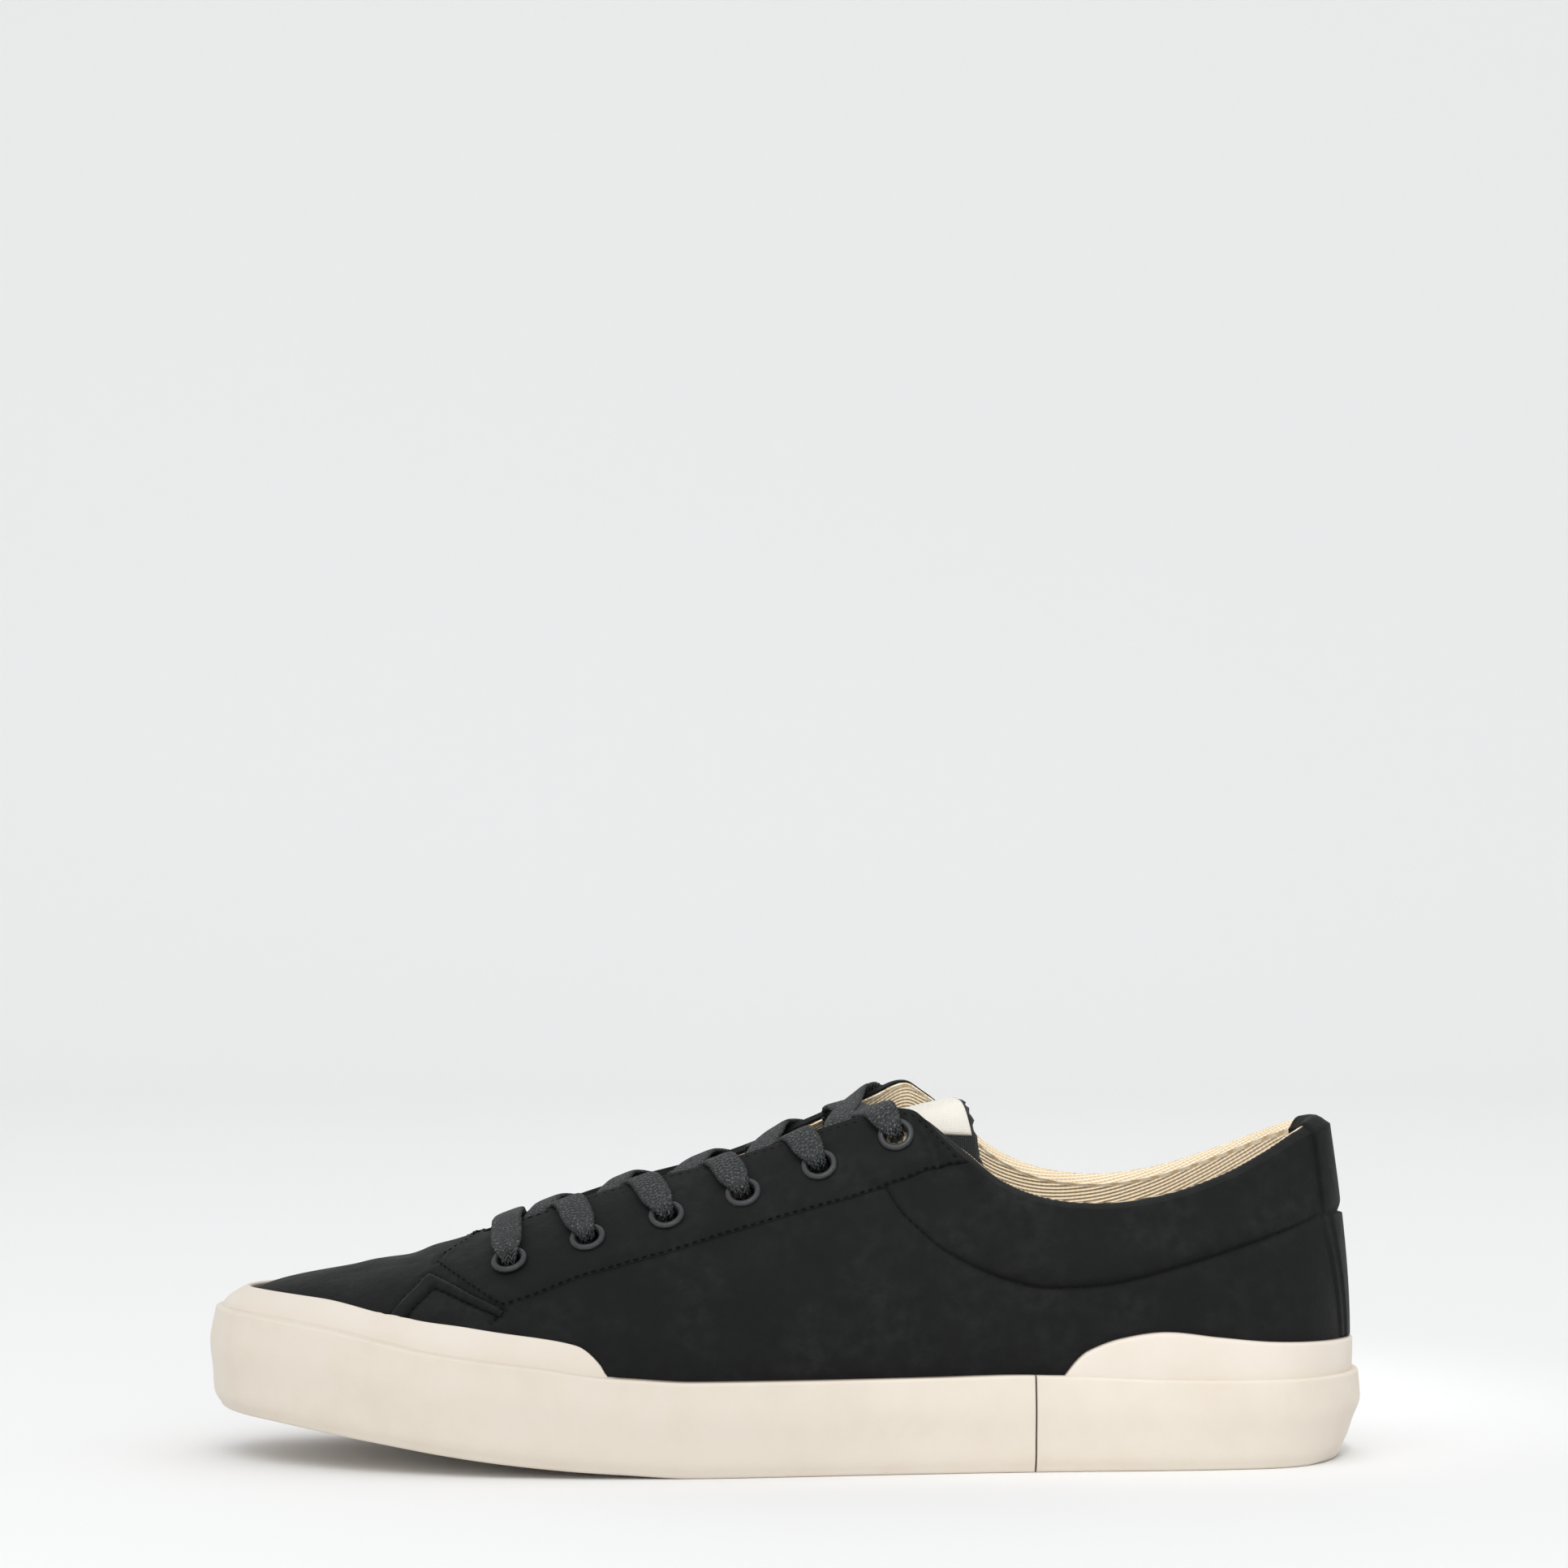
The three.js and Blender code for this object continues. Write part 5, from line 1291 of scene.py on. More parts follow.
@dataclass
class Upper:
    """The hollow leather upper and its lining."""

    last: Last
    leather: Finish
    lining: Finish
    steps: int = 18
    face_rows: int = 150
    leather_back: float = 0.0013
    lining_back: float = 0.0009

    def stations(self, steps: int) -> Array:
        """Stations of one side, closer together where the throat's front end is round."""
        even = np.linspace(0, HEEL, HEEL * steps + 1)
        turn = np.linspace(0, math.pi / 2, 14)[1:]
        tight = THROAT + THROAT_ROUND * (1 - np.cos(turn))
        even = even[(even <= THROAT) | (even > THROAT + THROAT_ROUND + 0.02)]
        return np.unique(np.concatenate([even, tight]))

    def ring_of_stations(self, steps: int) -> Array:
        """Stations once round the shoe, each once."""
        one_side = self.stations(steps)
        return np.concatenate([one_side[:-1], [float(HEEL)], -one_side[1:-1][::-1]])

    @staticmethod
    def shell(name: str, u: Array, rings: Array, gap: slice, marks: Marks = None) -> Piece:
        """A closed shell, joined over the toe by leaving out a gap of faces there."""
        joined = np.abs(u) <= THROAT
        without = np.zeros(rings.shape[:2], bool)
        without[:, gap] = (joined & np.roll(joined, -1))[:, None]
        return Workbench.ring_body(name, rings, True, without, marks)

    def make_leather(self) -> Piece:
        """The outer leather, from under the sidewall over the top edge."""
        last = self.last
        u = self.ring_of_stations(self.steps)
        column = u[:, None]
        v = np.linspace(0, 1, self.face_rows)[None, :]
        face = last.skin(column, v)
        rim = last.rim(u, (0.12, 0.25, 0.38, 0.48))
        lip = last.rim(u, (0.48,), -0.0004)
        back_rows = np.concatenate([[0.985, 0.95], np.linspace(0.88, 0, 9)])[None, :]
        back = last.skin(column, back_rows, -self.leather_back)
        joined = np.abs(u) <= THROAT
        ridge_back = last.skin(u, np.ones_like(u), -self.leather_back)
        rim[joined] = face[joined][:, -1:]
        lip[joined] = ridge_back[joined][:, None]
        inside = np.concatenate([lip, back], 1)
        blank = np.zeros((len(u), rim.shape[1] + inside.shape[1]))
        # painted shade along the seams and the collar's seam groove
        seam_shades = {"seam": np.concatenate([last.painted_seam_shade(column, v), blank], 1)}
        rings = np.concatenate([face, rim, inside], 1)
        gap = slice(face.shape[1] - 1, face.shape[1] + rim.shape[1])
        piece = self.shell("leather_upper", u, rings, gap, seam_shades)
        self.relax_ridge(piece)
        return piece

    def relax_ridge(self, piece: Piece) -> None:
        """Smooths the vamp along the line where both sides meet."""
        sizes = self.last.sizes
        places = vectors_of(piece.data.vertices, "co")
        middle = sizes.ball_width * TOP_MIDDLE[1][1]
        near = (np.abs(places[:, 1] - middle) < 0.014) & (places[:, 0] < -0.265 * sizes.sole_length)
        choose(piece.data, "vertices", near & (places[:, 2] > 0.04))
        bpy.context.view_layer.objects.active = piece
        with editing():
            bpy.ops.mesh.vertices_smooth(factor=0.5, repeat=12)

    def make_lining(self) -> Piece:
        """The twill lining, from inside the top edge down to the insole."""
        last = self.last
        u = self.ring_of_stations(8)
        column = u[:, None]
        rows = np.linspace(0.985, 0, 46)[None, :]
        swell = 1.6 * np.maximum(last.padding(column, rows), 0)
        inside = last.skin(column, rows, -last.thickness(column, rows) - swell, False)
        start = 0.44 + 0.4 * smooth_step((FACING_TOP + 2.6 - np.abs(u)) / 1.2)[:, None]
        turns = start + (1 - start) * np.linspace(0, 1, 6)[None, :]
        rim = last.rim(u, turns, 0.0002)
        hidden = np.linspace(0, 0.97, 12)[None, :]
        back = last.skin(column, hidden, -last.thickness(column, hidden) + self.lining_back, False)
        joined = np.abs(u) <= THROAT
        low, high = (
            last.skin(u, np.ones_like(u), rise - last.thickness(u, 1.0), False)
            for rise in (0.0, self.lining_back)
        )
        rim[joined] = low[joined][:, None]
        rim[joined, 0] = high[joined]
        rings = np.concatenate([rim, inside, back], 1)
        return self.shell("twill_lining", u, rings, slice(0, rim.shape[1] - 1))

    def build(self, cutter: Piece, lining_cutter: Piece) -> None:
        """Makes both pieces, with the eyelets' holes; the top eyelets' stop at the lining."""
        leather = self.make_leather()
        Workbench.cut(leather, cutter)
        Workbench.own(leather, self.leather, "suede", "upper")
        lining = self.make_lining()
        Workbench.cut(lining, lining_cutter)
        Workbench.own(lining, self.lining, "insole_canvas")


@dataclass
class Overlay:
    """A leather or rubber panel that lies on the upper with a rounded edge.

    Attributes:
        last: The form that it lies on.
        thickness: How far its face stands off the upper.
        edge: The radius of its rounded edges.
        sink: How far its back is sunk into the upper.
        rows: How many rows its face has between the edges.
        foot_share: The share of its thickness that it has at its lower edge.
        foot_reach: How far up it takes to reach its whole thickness.
    """

    last: Last
    thickness: float
    edge: float = 0.0008
    sink: float = 0.0002
    rows: int = 24
    foot_share: float = 1.0
    foot_reach: float = 0.004

    def rings(
        self, u: Array, low: Array, high: Array, scale: Optional[Array] = None
    ) -> tuple[Array, Array]:
        """Rings round the panel at stations u, between shares low and high of the wall.

        Args:
            u: Stations.
            low: The panel's lower edge.
            high: Its upper edge.
            scale: The share of its thickness that it has at each station.

        Returns:
            The points, and by ring and point how near each is to the upper edge's corner.
        """
        high = np.maximum(high, low)
        length = self.last.wall(u).reach(low, high)
        share = np.minimum(self.edge / np.maximum(length, 1e-6), 0.5)[:, None]
        across, up = round_edge(5)
        middle = np.linspace(0, 1, self.rows)[None, 1:-1]
        t = np.concatenate([across * share, share + (1 - 2 * share) * middle, 1 - across[::-1] * share], 1)
        lift = np.concatenate([up, np.ones(middle.size), up[::-1]])[None, :] * (self.thickness + self.sink)
        reach = t * length[:, None]
        soft = self.foot_share + (1 - self.foot_share) * smooth_step(reach / self.foot_reach)
        lift = lift * soft
        if scale is not None:
            lift = lift * scale[:, None]
        v = low[:, None] + (high - low)[:, None] * t
        face = self.last.skin(u[:, None], v, lift - self.sink)
        back_v = low[:, None] + (high - low)[:, None] * np.linspace(1, 0, 12)[None, 1:-1]
        back = self.last.skin(u[:, None], back_v, -self.sink)
        edge_mark = np.zeros((len(u), face.shape[1] + back.shape[1]))
        edge_mark[:, face.shape[1] - 3: face.shape[1]] = (0.15, 0.85, 1.0)
        return np.concatenate([face, back], 1), edge_mark


@dataclass
class Panels:
    """The eyelet facings, the toe and heel guards and the strip up the back of the heel."""

    last: Last
    leather: Finish
    rubber: Finish
    steps: int = 14
    ridge_height: float = 0.00065
    ridge_width: float = 0.0033
    seam_shade: float = 0.0009
    toe_swell: float = 0.0022
    swell_foot: float = 0.0012
    swell_fade: float = 0.0035
    strip_edge: float = 0.0008
    strip_step: float = 0.0027
    step_edge: float = 0.0007
    under_share: float = 0.55
    sink: float = 0.0002
    tab_sink: float = 0.0003

    def spread_stations(self, start: float, end: float, steps: Optional[int] = None) -> Array:
        """Stations evenly from one to another."""
        count = max(2, int(abs(end - start) * (steps or self.steps)) + 1)
        return np.linspace(start, end, count)

    def facing(self, side: Side, cutter: Piece) -> None:
        """One eyelet facing, from beside the throat's front end to the collar."""
        last, sizes = self.last, self.last.sizes
        foot = last.facing_foot(side)
        front = last.lifted_line(side, FACING_FRONT_LINE, sizes.facing_height)
        tip, corner, tail = last.stations_at(side, [FACING_FOOT_LINE[k][0] for k in (0, 1, -1)], foot)
        even = self.spread_stations(tip, tail)
        dense = np.linspace(THROAT - 0.35, THROAT + THROAT_ROUND, 26)
        tight = np.linspace(corner - 0.12, corner + 0.12, 13)
        u = side.value * np.unique(np.concatenate([even, dense, tight]))
        low = last.crossing(u, foot)
        head = np.where(np.abs(u) < THROAT, last.crossing(u, front), 1.0)
        thick = sizes.facing_thickness + sizes.clearance
        overlay = Overlay(last, thick, edge=0.0005, rows=60, foot_share=0.45)
        rings, _ = overlay.rings(u, low, head, facing_fullness(u))
        share = np.concatenate([np.linspace(0, 1, 60), np.linspace(1, 0, 18)])[None, :]
        length = last.wall(u).reach(low, head)[:, None]
        # painted shade along the facing's lower stitched edge
        seam = {"seam": np.exp(-((share * length / self.seam_shade) ** 2))}
        piece = Workbench.ring_body(f"leather_facing_{SIDE_NAMES[side]}", rings, marks=seam)
        Workbench.cut(piece, cutter)
        Workbench.own(piece, self.leather, "suede", f"facing_{SIDE_NAMES[side]}")

    def wing_ridge(self, side: Side) -> None:
        """The raised strip between the wing's two rows of stitches."""
        last, sizes = self.last, self.last.sizes
        outer, inner = np.array(WING_OUTER), np.array(WING_INNER)
        t = np.linspace(0, len(outer) - 1, 220)[:, None]
        w = np.linspace(-0.12, 1.12, 17)[None, :]

        def between(column: int) -> Array:
            """Places between both lines, by share along and across."""
            a, b = (np.interp(t, range(len(line)), line[:, column]) for line in (outer, inner))
            return a + (b - a) * w

        u, v = last.locate(side, between(0) * sizes.sole_length, between(1) * sizes.facing_height)
        raised = np.sqrt(np.clip(np.sin(np.pi * np.clip(w, 0, 1)), 0, 1)) * self.ridge_height
        beyond = np.clip(np.maximum(-w, w - 1), 0, 1) / 0.12
        lift = raised + 0.00012 - 0.0005 * beyond**2 + 0 * t
        face = last.skin(u, v, lift)
        back = last.skin(u, v, -0.0006)[:, ::-1]
        near = np.minimum(np.abs(w), np.abs(1 - w)) * self.ridge_width
        # painted shade along both stitched edges of the ridge
        mark = np.exp(-((near / 0.0005) ** 2)) + 0 * t
        marks = {"seam": np.concatenate([mark, 0 * mark], 1)}
        name = f"leather_wing_ridge_{SIDE_NAMES[side]}"
        piece = Workbench.ring_body(name, np.concatenate([face, back], 1), marks=marks)
        Workbench.own(piece, self.leather, "suede")

    def above(self, line: Line, rise: float) -> HeightAt:
        """Heights over the sidewall's top edge."""
        return lambda x: self.last.foxing_top(x) + rise * through(line, x / self.last.sizes.sole_length)

    def guard(self, name: str, node: str, line: Line, rise: float, at_toe: bool) -> None:
        """A rubber guard that stands up from behind the sidewall."""
        last, sizes = self.last, self.last.sizes
        end = last.stations_at(Side.INNER, [line[-1 if at_toe else 0][0]], last.foxing_top)[0]
        if at_toe:
            u = both_sides(self.spread_stations(0, end, 20))
        else:
            u = self.spread_stations(end, 2 * HEEL - end, 16)
        low = last.crossing(u, lambda x: last.foxing_top(x) - sizes.guard_tuck)
        high = last.crossing(u, self.above(line, rise))
        overlay = Overlay(last, sizes.guard_thickness + sizes.clearance, edge=0.0009, rows=20)
        rings, edge = overlay.rings(u, low, high)
        over = rings[..., 2] - last.foxing_top(rings[..., 0])
        round_toe = smooth_step((3.6 - np.abs(u)) / 3.2)[:, None] if at_toe else 0.0
        faded = np.exp(-((np.maximum(over - self.swell_foot, 0) / self.swell_fade) ** 2))
        swell = self.toe_swell * round_toe * faded * smooth_step((over + self.swell_foot) / self.swell_foot)
        outward = unit(rings[..., :2] - np.array([-0.36 * sizes.sole_length, 0.05 * sizes.ball_width]))
        rings[..., :2] += outward * np.asarray(swell)[..., None]
        # the top edge against the leather carries the line of glue and painted shade
        piece = Workbench.ring_body(name, rings, marks={"glue_and_shade": edge})
        Workbench.own(piece, self.rubber, "sidewall_rubber", node)

    def strip_places(
        self, half_width: float, rows: int, columns: int, low_gap: float, high_gap: float
    ) -> tuple[Array, Array]:
        """Places on the heel that keep their distance from its middle line.

        Args:
            half_width: The outermost distance from the middle line.
            rows: Rows from the guard up to the tab.
            columns: Columns across the heel.
            low_gap: How far over the guard the lowest row is.
            high_gap: How far under the tab the highest row is.

        Returns:
            Stations and shares by row and column.
        """
        last, sizes = self.last, self.last.sizes
        guard = self.above(HEEL_GUARD_LINE, sizes.heel_guard_rise)
        t = np.linspace(0, 1, rows)[:, None]
        y = np.linspace(-half_width, half_width, columns)[None, :] + 0 * t
        sign = np.where(y < 0, -1.0, 1.0)

        def height(x: Array) -> Array:
            """Each row's height over x."""
            foot = guard(x) + low_gap
            return foot + (sizes.tab_foot_height - high_gap - foot) * t

        middle = sizes.ball_width * TOP_MIDDLE[-1][1]

        def outside(u: Array) -> Array:
            """Whether stations are still beyond their distance from the middle line."""
            place = last.wall(sign * u).point(last.crossing(sign * u, height))
            return sign * (place[..., 1] - middle) > sign * y

        low, high = np.full_like(y, HEEL_ROUND), np.full_like(y, HEEL)
        u = sign * halved(low, high, outside, 20)
        return u, last.crossing(u, height)

    def heel_strip(self) -> None:
        """The strip up the heel, in two layers with soft edges."""
        last, sizes = self.last, self.last.sizes
        u, v = self.strip_places(sizes.strip_half_width, 40, 61, sizes.clearance, sizes.clearance)
        y = np.abs(np.linspace(-sizes.strip_half_width, sizes.strip_half_width, 61))[None, :]
        thick = sizes.strip_thickness + sizes.clearance
        under = smooth_step((sizes.strip_half_width - y) / self.strip_edge)
        over = smooth_step((sizes.strip_half_width - self.strip_step - y) / self.step_edge)
        lift = thick * (self.under_share * under + (1 - self.under_share) * over) + 0 * u
        face = last.skin(u, v, lift)
        back = last.skin(u, v, -self.sink)
        rings = np.concatenate([face, back[:, ::-1]], 1)
        piece = Workbench.ring_body("leather_heel_strip", rings)
        Workbench.own(piece, self.leather, "suede", "heel_strip")

    def heel_tab(self) -> None:
        """The soft tab folded over the collar at the heel."""
        last, sizes = self.last, self.last.sizes
        middle = sizes.ball_width * TOP_MIDDLE[-1][1]
        low, high = np.array([float(HEEL_ROUND)]), np.array([float(HEEL)])
        start = halved(
            low, high, lambda u: last.wall(u).point(0.6)[..., 1] - middle > sizes.tab_half_width
        )[0]
        u = self.spread_stations(start, 2 * HEEL - start, 16)
        column = u[:, None]
        ends = np.minimum(u - u[0], u[-1] - u)
        taper = np.sqrt(1 - (1 - np.clip(ends / 0.09, 0, 1)) ** 2)[:, None]
        foot = last.crossing(u, lambda _: sizes.tab_foot_height)[:, None]
        rows = foot + (1 - foot) * np.linspace(0, 1, 26)[None, :]
        foot_round = np.concatenate([round_edge(5)[1], np.ones(21)])
        thick = (sizes.tab_thickness + sizes.clearance) * taper
        outside = last.skin(column, rows, thick * foot_round - 0.0001)
        turns = (0.1, 0.22, 0.36, 0.5, 0.64, 0.78, 0.9)
        share = taper[..., None]
        over = last.rim(u, turns) * (1 - share) + last.rim(u, turns, sizes.tab_thickness) * share
        inner_v = np.linspace(1, 0.87, 8)[None, :]
        inner_up = np.array([1.0, 1.0, 1.0, 1.0, 1.0, 0.9, 0.6, 0.0])
        wall = last.thickness(column, inner_v)
        inside = last.skin(column, inner_v, -wall - thick * inner_up)
        back_in = last.skin(column, inner_v[:, ::-1], self.tab_sink - wall[:, ::-1])
        back_over = last.rim(u, turns[::-1], -self.tab_sink)
        back_out = last.skin(column, rows[:, ::-1], -self.tab_sink)
        rings = np.concatenate([outside, over, inside, back_in, back_over, back_out], 1)
        piece = Workbench.ring_body("leather_heel_tab", rings, smooth_degrees=50)
        Workbench.own(piece, self.leather, "suede", "heel_tab")

    def build(self, cutter: Piece) -> None:
        """Makes every panel."""
        sizes = self.last.sizes
        for side in Side:
            self.facing(side, cutter)
            self.wing_ridge(side)
        self.guard("rubber_toe_guard", "toe_guard", TOE_GUARD_LINE, sizes.toe_guard_rise, True)
        self.guard("rubber_heel_guard", "heel_guard", HEEL_GUARD_LINE, sizes.heel_guard_rise, False)
        self.heel_strip()
        self.heel_tab()


@dataclass
class Sole:
    """The sidewall in its two pieces, the outsole and the insole."""

    last: Last
    sidewall: Finish
    tread: Finish
    canvas: Finish
    face_rows: int = 22
    edge_round: float = 0.0009
    end_round: float = 0.0006
    station_length: float = 0.013
    groove_edge: float = 0.0012
    rib_width: float = 0.0006
    border_edge: float = 0.0008

    def standing_in(self, u: Array) -> Array:
        """How far the sidewall's face stands in, by station and row."""
        sizes = self.last.sizes
        share = np.linspace(0, 1, self.face_rows)
        columns = [tuple((row[0], row[k]) for row in FOXING_FACE) for k in (1, 2)]
        side_inset, heel_inset = (through(c, share)[None, :] for c in columns)
        toeward = 1 - smooth_step(np.abs(u) / 4)
        round_side = sizes.foxing_round + (sizes.toe_round - sizes.foxing_round) * toeward
        heelward = smooth_step((np.minimum(np.abs(u), 2 * HEEL - np.abs(u)) - HEEL_ROUND) / 5)
        depth = side_inset * (round_side * (1 - heelward))[:, None]
        return depth + heel_inset * (sizes.heel_round * heelward)[:, None]

    def profile(self, u: Array, inset: Array) -> tuple[Array, Array]:
        """Rings round the sidewall at stations u.

        Args:
            u: Stations.
            inset: How far the whole face stands in, by station.

        Returns:
            The points and, by ring and point, the strength of the line of glue and painted shade.
        """
        last, sizes, corner = self.last, self.last.sizes, self.edge_round
        depth = self.standing_in(u)
        edge, _ = last.sole_point(u)
        under, top = last.underside(edge[:, 0]), last.foxing_top(edge[:, 0])
        tall = (top - under)[:, None]
        across, up = (part[None, :] for part in round_edge(5))
        low_in = depth[:, :1] + corner * (1 - up[:, :-1])
        low_z = corner * across[:, :-1] + 0 * tall
        face_z = corner + (tall - 2 * corner) * np.linspace(0, 1, self.face_rows)[None, :]
        high_in = depth[:, -1:] + corner * across[:, 1:]
        high_z = tall - corner + corner * up[:, 1:]
        ins = np.concatenate([low_in, depth, high_in], 1) + inset[:, None]
        face, _ = last.sole_point(u[:, None], -ins)
        face[..., 2] = np.concatenate([low_z, face_z, high_z], 1) + under[:, None]
        back_v = last.crossing(u, last.foxing_top)[:, None] * np.linspace(1, 0, 5)[None, :]
        back = last.skin(u[:, None], back_v, 0.0001, False)
        back[:, 0, 2] = top - 0.0001
        foot, _ = last.sole_point(u, -(sizes.foxing_wall - sizes.clearance))
        foot[:, 2] = under
        # the line of glue and painted shade along the top edge where it meets the leather
        glue_and_shade = np.zeros(ins.shape[1] + 6)
        glue_and_shade[ins.shape[1] - 1: ins.shape[1] + 1] = (0.25, 1.0)
        x = edge[:, 0] / sizes.sole_length
        behind_toe = smooth_step((x - TOE_GUARD_LINE[-1][0]) / 0.01)
        bare = behind_toe * smooth_step((HEEL_GUARD_LINE[0][0] - x) / 0.01)
        rings = np.concatenate([face, back, foot[:, None]], 1)
        return rings, glue_and_shade[None, :] * bare[:, None]

    def end_stations(self, u: Array) -> tuple[Array, Array]:
        """Stations with rounded ends added, and how far each stands in."""
        near = self.end_round / self.station_length * np.array([0.0, 0.08, 0.3, 1.0])
        depth = self.end_round * np.array([1.0, 0.55, 0.2, 0.0])
        inner = u[(u > u[0] + near[-1]) & (u < u[-1] - near[-1])]
        stations = np.concatenate([u[0] + near, inner, (u[-1] - near)[::-1]])
        return stations, np.concatenate([depth, np.zeros(len(inner)), depth[::-1]])

    def sidewall_pieces(self) -> None:
        """The front sidewall round the toe and the one round the heel."""
        last, sizes = self.last, self.last.sizes
        joint = (FOXING_JOINT, FOXING_JOINT + sizes.clearance / sizes.sole_length)
        end, start = last.stations_at(Side.INNER, joint, last.foxing_top)
        runs = (
            ("rubber_sidewall", "foxing", np.linspace(-end, end, 520)),
            ("rubber_heel_sidewall", "heel_foxing", np.linspace(start, 2 * HEEL - start, 200)),
        )
        for name, node, stations in runs:
            u, inset = self.end_stations(stations)
            rings, glue_and_shade = self.profile(u, inset)
            # the ends at the joints also get the line of glue and painted shade
            glue_and_shade[0] = glue_and_shade[-1] = 0.8
            piece = Workbench.ring_body(name, rings, marks={"glue_and_shade": glue_and_shade}, smooth_degrees=50)
            Workbench.own(piece, self.sidewall, "sidewall_rubber", node)

    def across(self, u: Array, inset: float, t: Array) -> Array:
        """Rows of places inside the sole's edge, at shares t from its outer side to its inner."""
        near, far = (self.last.sole_point(side * u, -inset)[0][:, None] for side in (-1, 1))
        share = t[None, :, None]
        return near * (1 - share) + far * share

    def groove(self, x: Array, y: Array, border: Array) -> Array:
        """How deep the tread's chevrons are at a place, by its distance in from the edge."""
        sizes = self.last.sizes
        phase = (x + np.abs(y) * 0.5) / sizes.groove_pitch
        near = np.abs(phase - np.round(phase)) * sizes.groove_pitch
        wide = smooth_step((sizes.groove_width / 2 - near) / self.groove_edge)
        fine = np.abs(phase * 4 - np.round(phase * 4)) * sizes.groove_pitch / 4
        ribs = 0.25 * smooth_step((self.rib_width - fine) / self.rib_width)
        inside = smooth_step((border - sizes.tread_border) / self.border_edge)
        return sizes.groove_depth * np.maximum(wide, ribs) * inside

    def outsole(self) -> None:
        """The outsole with its tread."""
        last, sizes = self.last, self.last.sizes
        t = np.linspace(0, 1, 100)
        row = self.across(stretches((0, 2, 40), (2, 20, 330), (20, HEEL, 40)), sizes.foxing_wall, t)
        width = np.linalg.norm(row[:, -1] - row[:, 0], axis=-1)[:, None]
        ends = np.minimum(row[..., 0] - row[..., 0].min(), row[..., 0].max() - row[..., 0])
        border = np.minimum(np.minimum(t, 1 - t)[None, :] * width, ends)
        bottom, top = row.copy(), row[:, ::9][:, ::-1].copy()
        bottom[..., 2] = last.underside(row[..., 0]) + self.groove(row[..., 0], row[..., 1], border)
        top[..., 2] = last.outsole_top(top[..., 0])
        piece = Workbench.ring_body("rubber_outsole", np.concatenate([bottom, top], 1), smooth_degrees=50)
        Workbench.own(piece, self.tread, "tread_rubber", "outsole")

    def insole(self) -> None:
        """The cloth-topped insole, dished at the heel and raised at the arch."""
        last, sizes = self.last, self.last.sizes
        inset = sizes.foxing_wall + sizes.upper_wall + 4 * sizes.clearance
        u = stretches((0, 2, 30), (2, 20, 110), (20, HEEL, 30))
        share, rise = rounded_row(0.02, 46, 5)
        top = self.across(u, inset, share)
        under = self.across(u, inset, np.linspace(1, 0, 8))
        under[..., 2] = last.outsole_top(under[..., 0]) + sizes.clearance
        station, share = u[:, None], share[None, :]
        dish = (2 * share - 1) ** 2 * sizes.arch_dish * np.sin(np.pi * station / HEEL)
        inward = smooth_step((share - 0.4) / 0.6)
        arch = sizes.arch_rise * inward * smooth_step(1 - np.abs(station - 11) / 6)
        base = last.outsole_top(top[..., 0]) + sizes.clearance
        top[..., 2] = base + (sizes.insole_thickness * rise[None, :] + dish + arch)
        piece = Workbench.ring_body("canvas_insole", np.concatenate([top, under], 1), smooth_degrees=50)
        Workbench.own(piece, self.canvas, "insole_canvas", "insole")

    def build(self) -> None:
        """Makes the sole's pieces."""
        self.sidewall_pieces()
        self.outsole()
        self.insole()


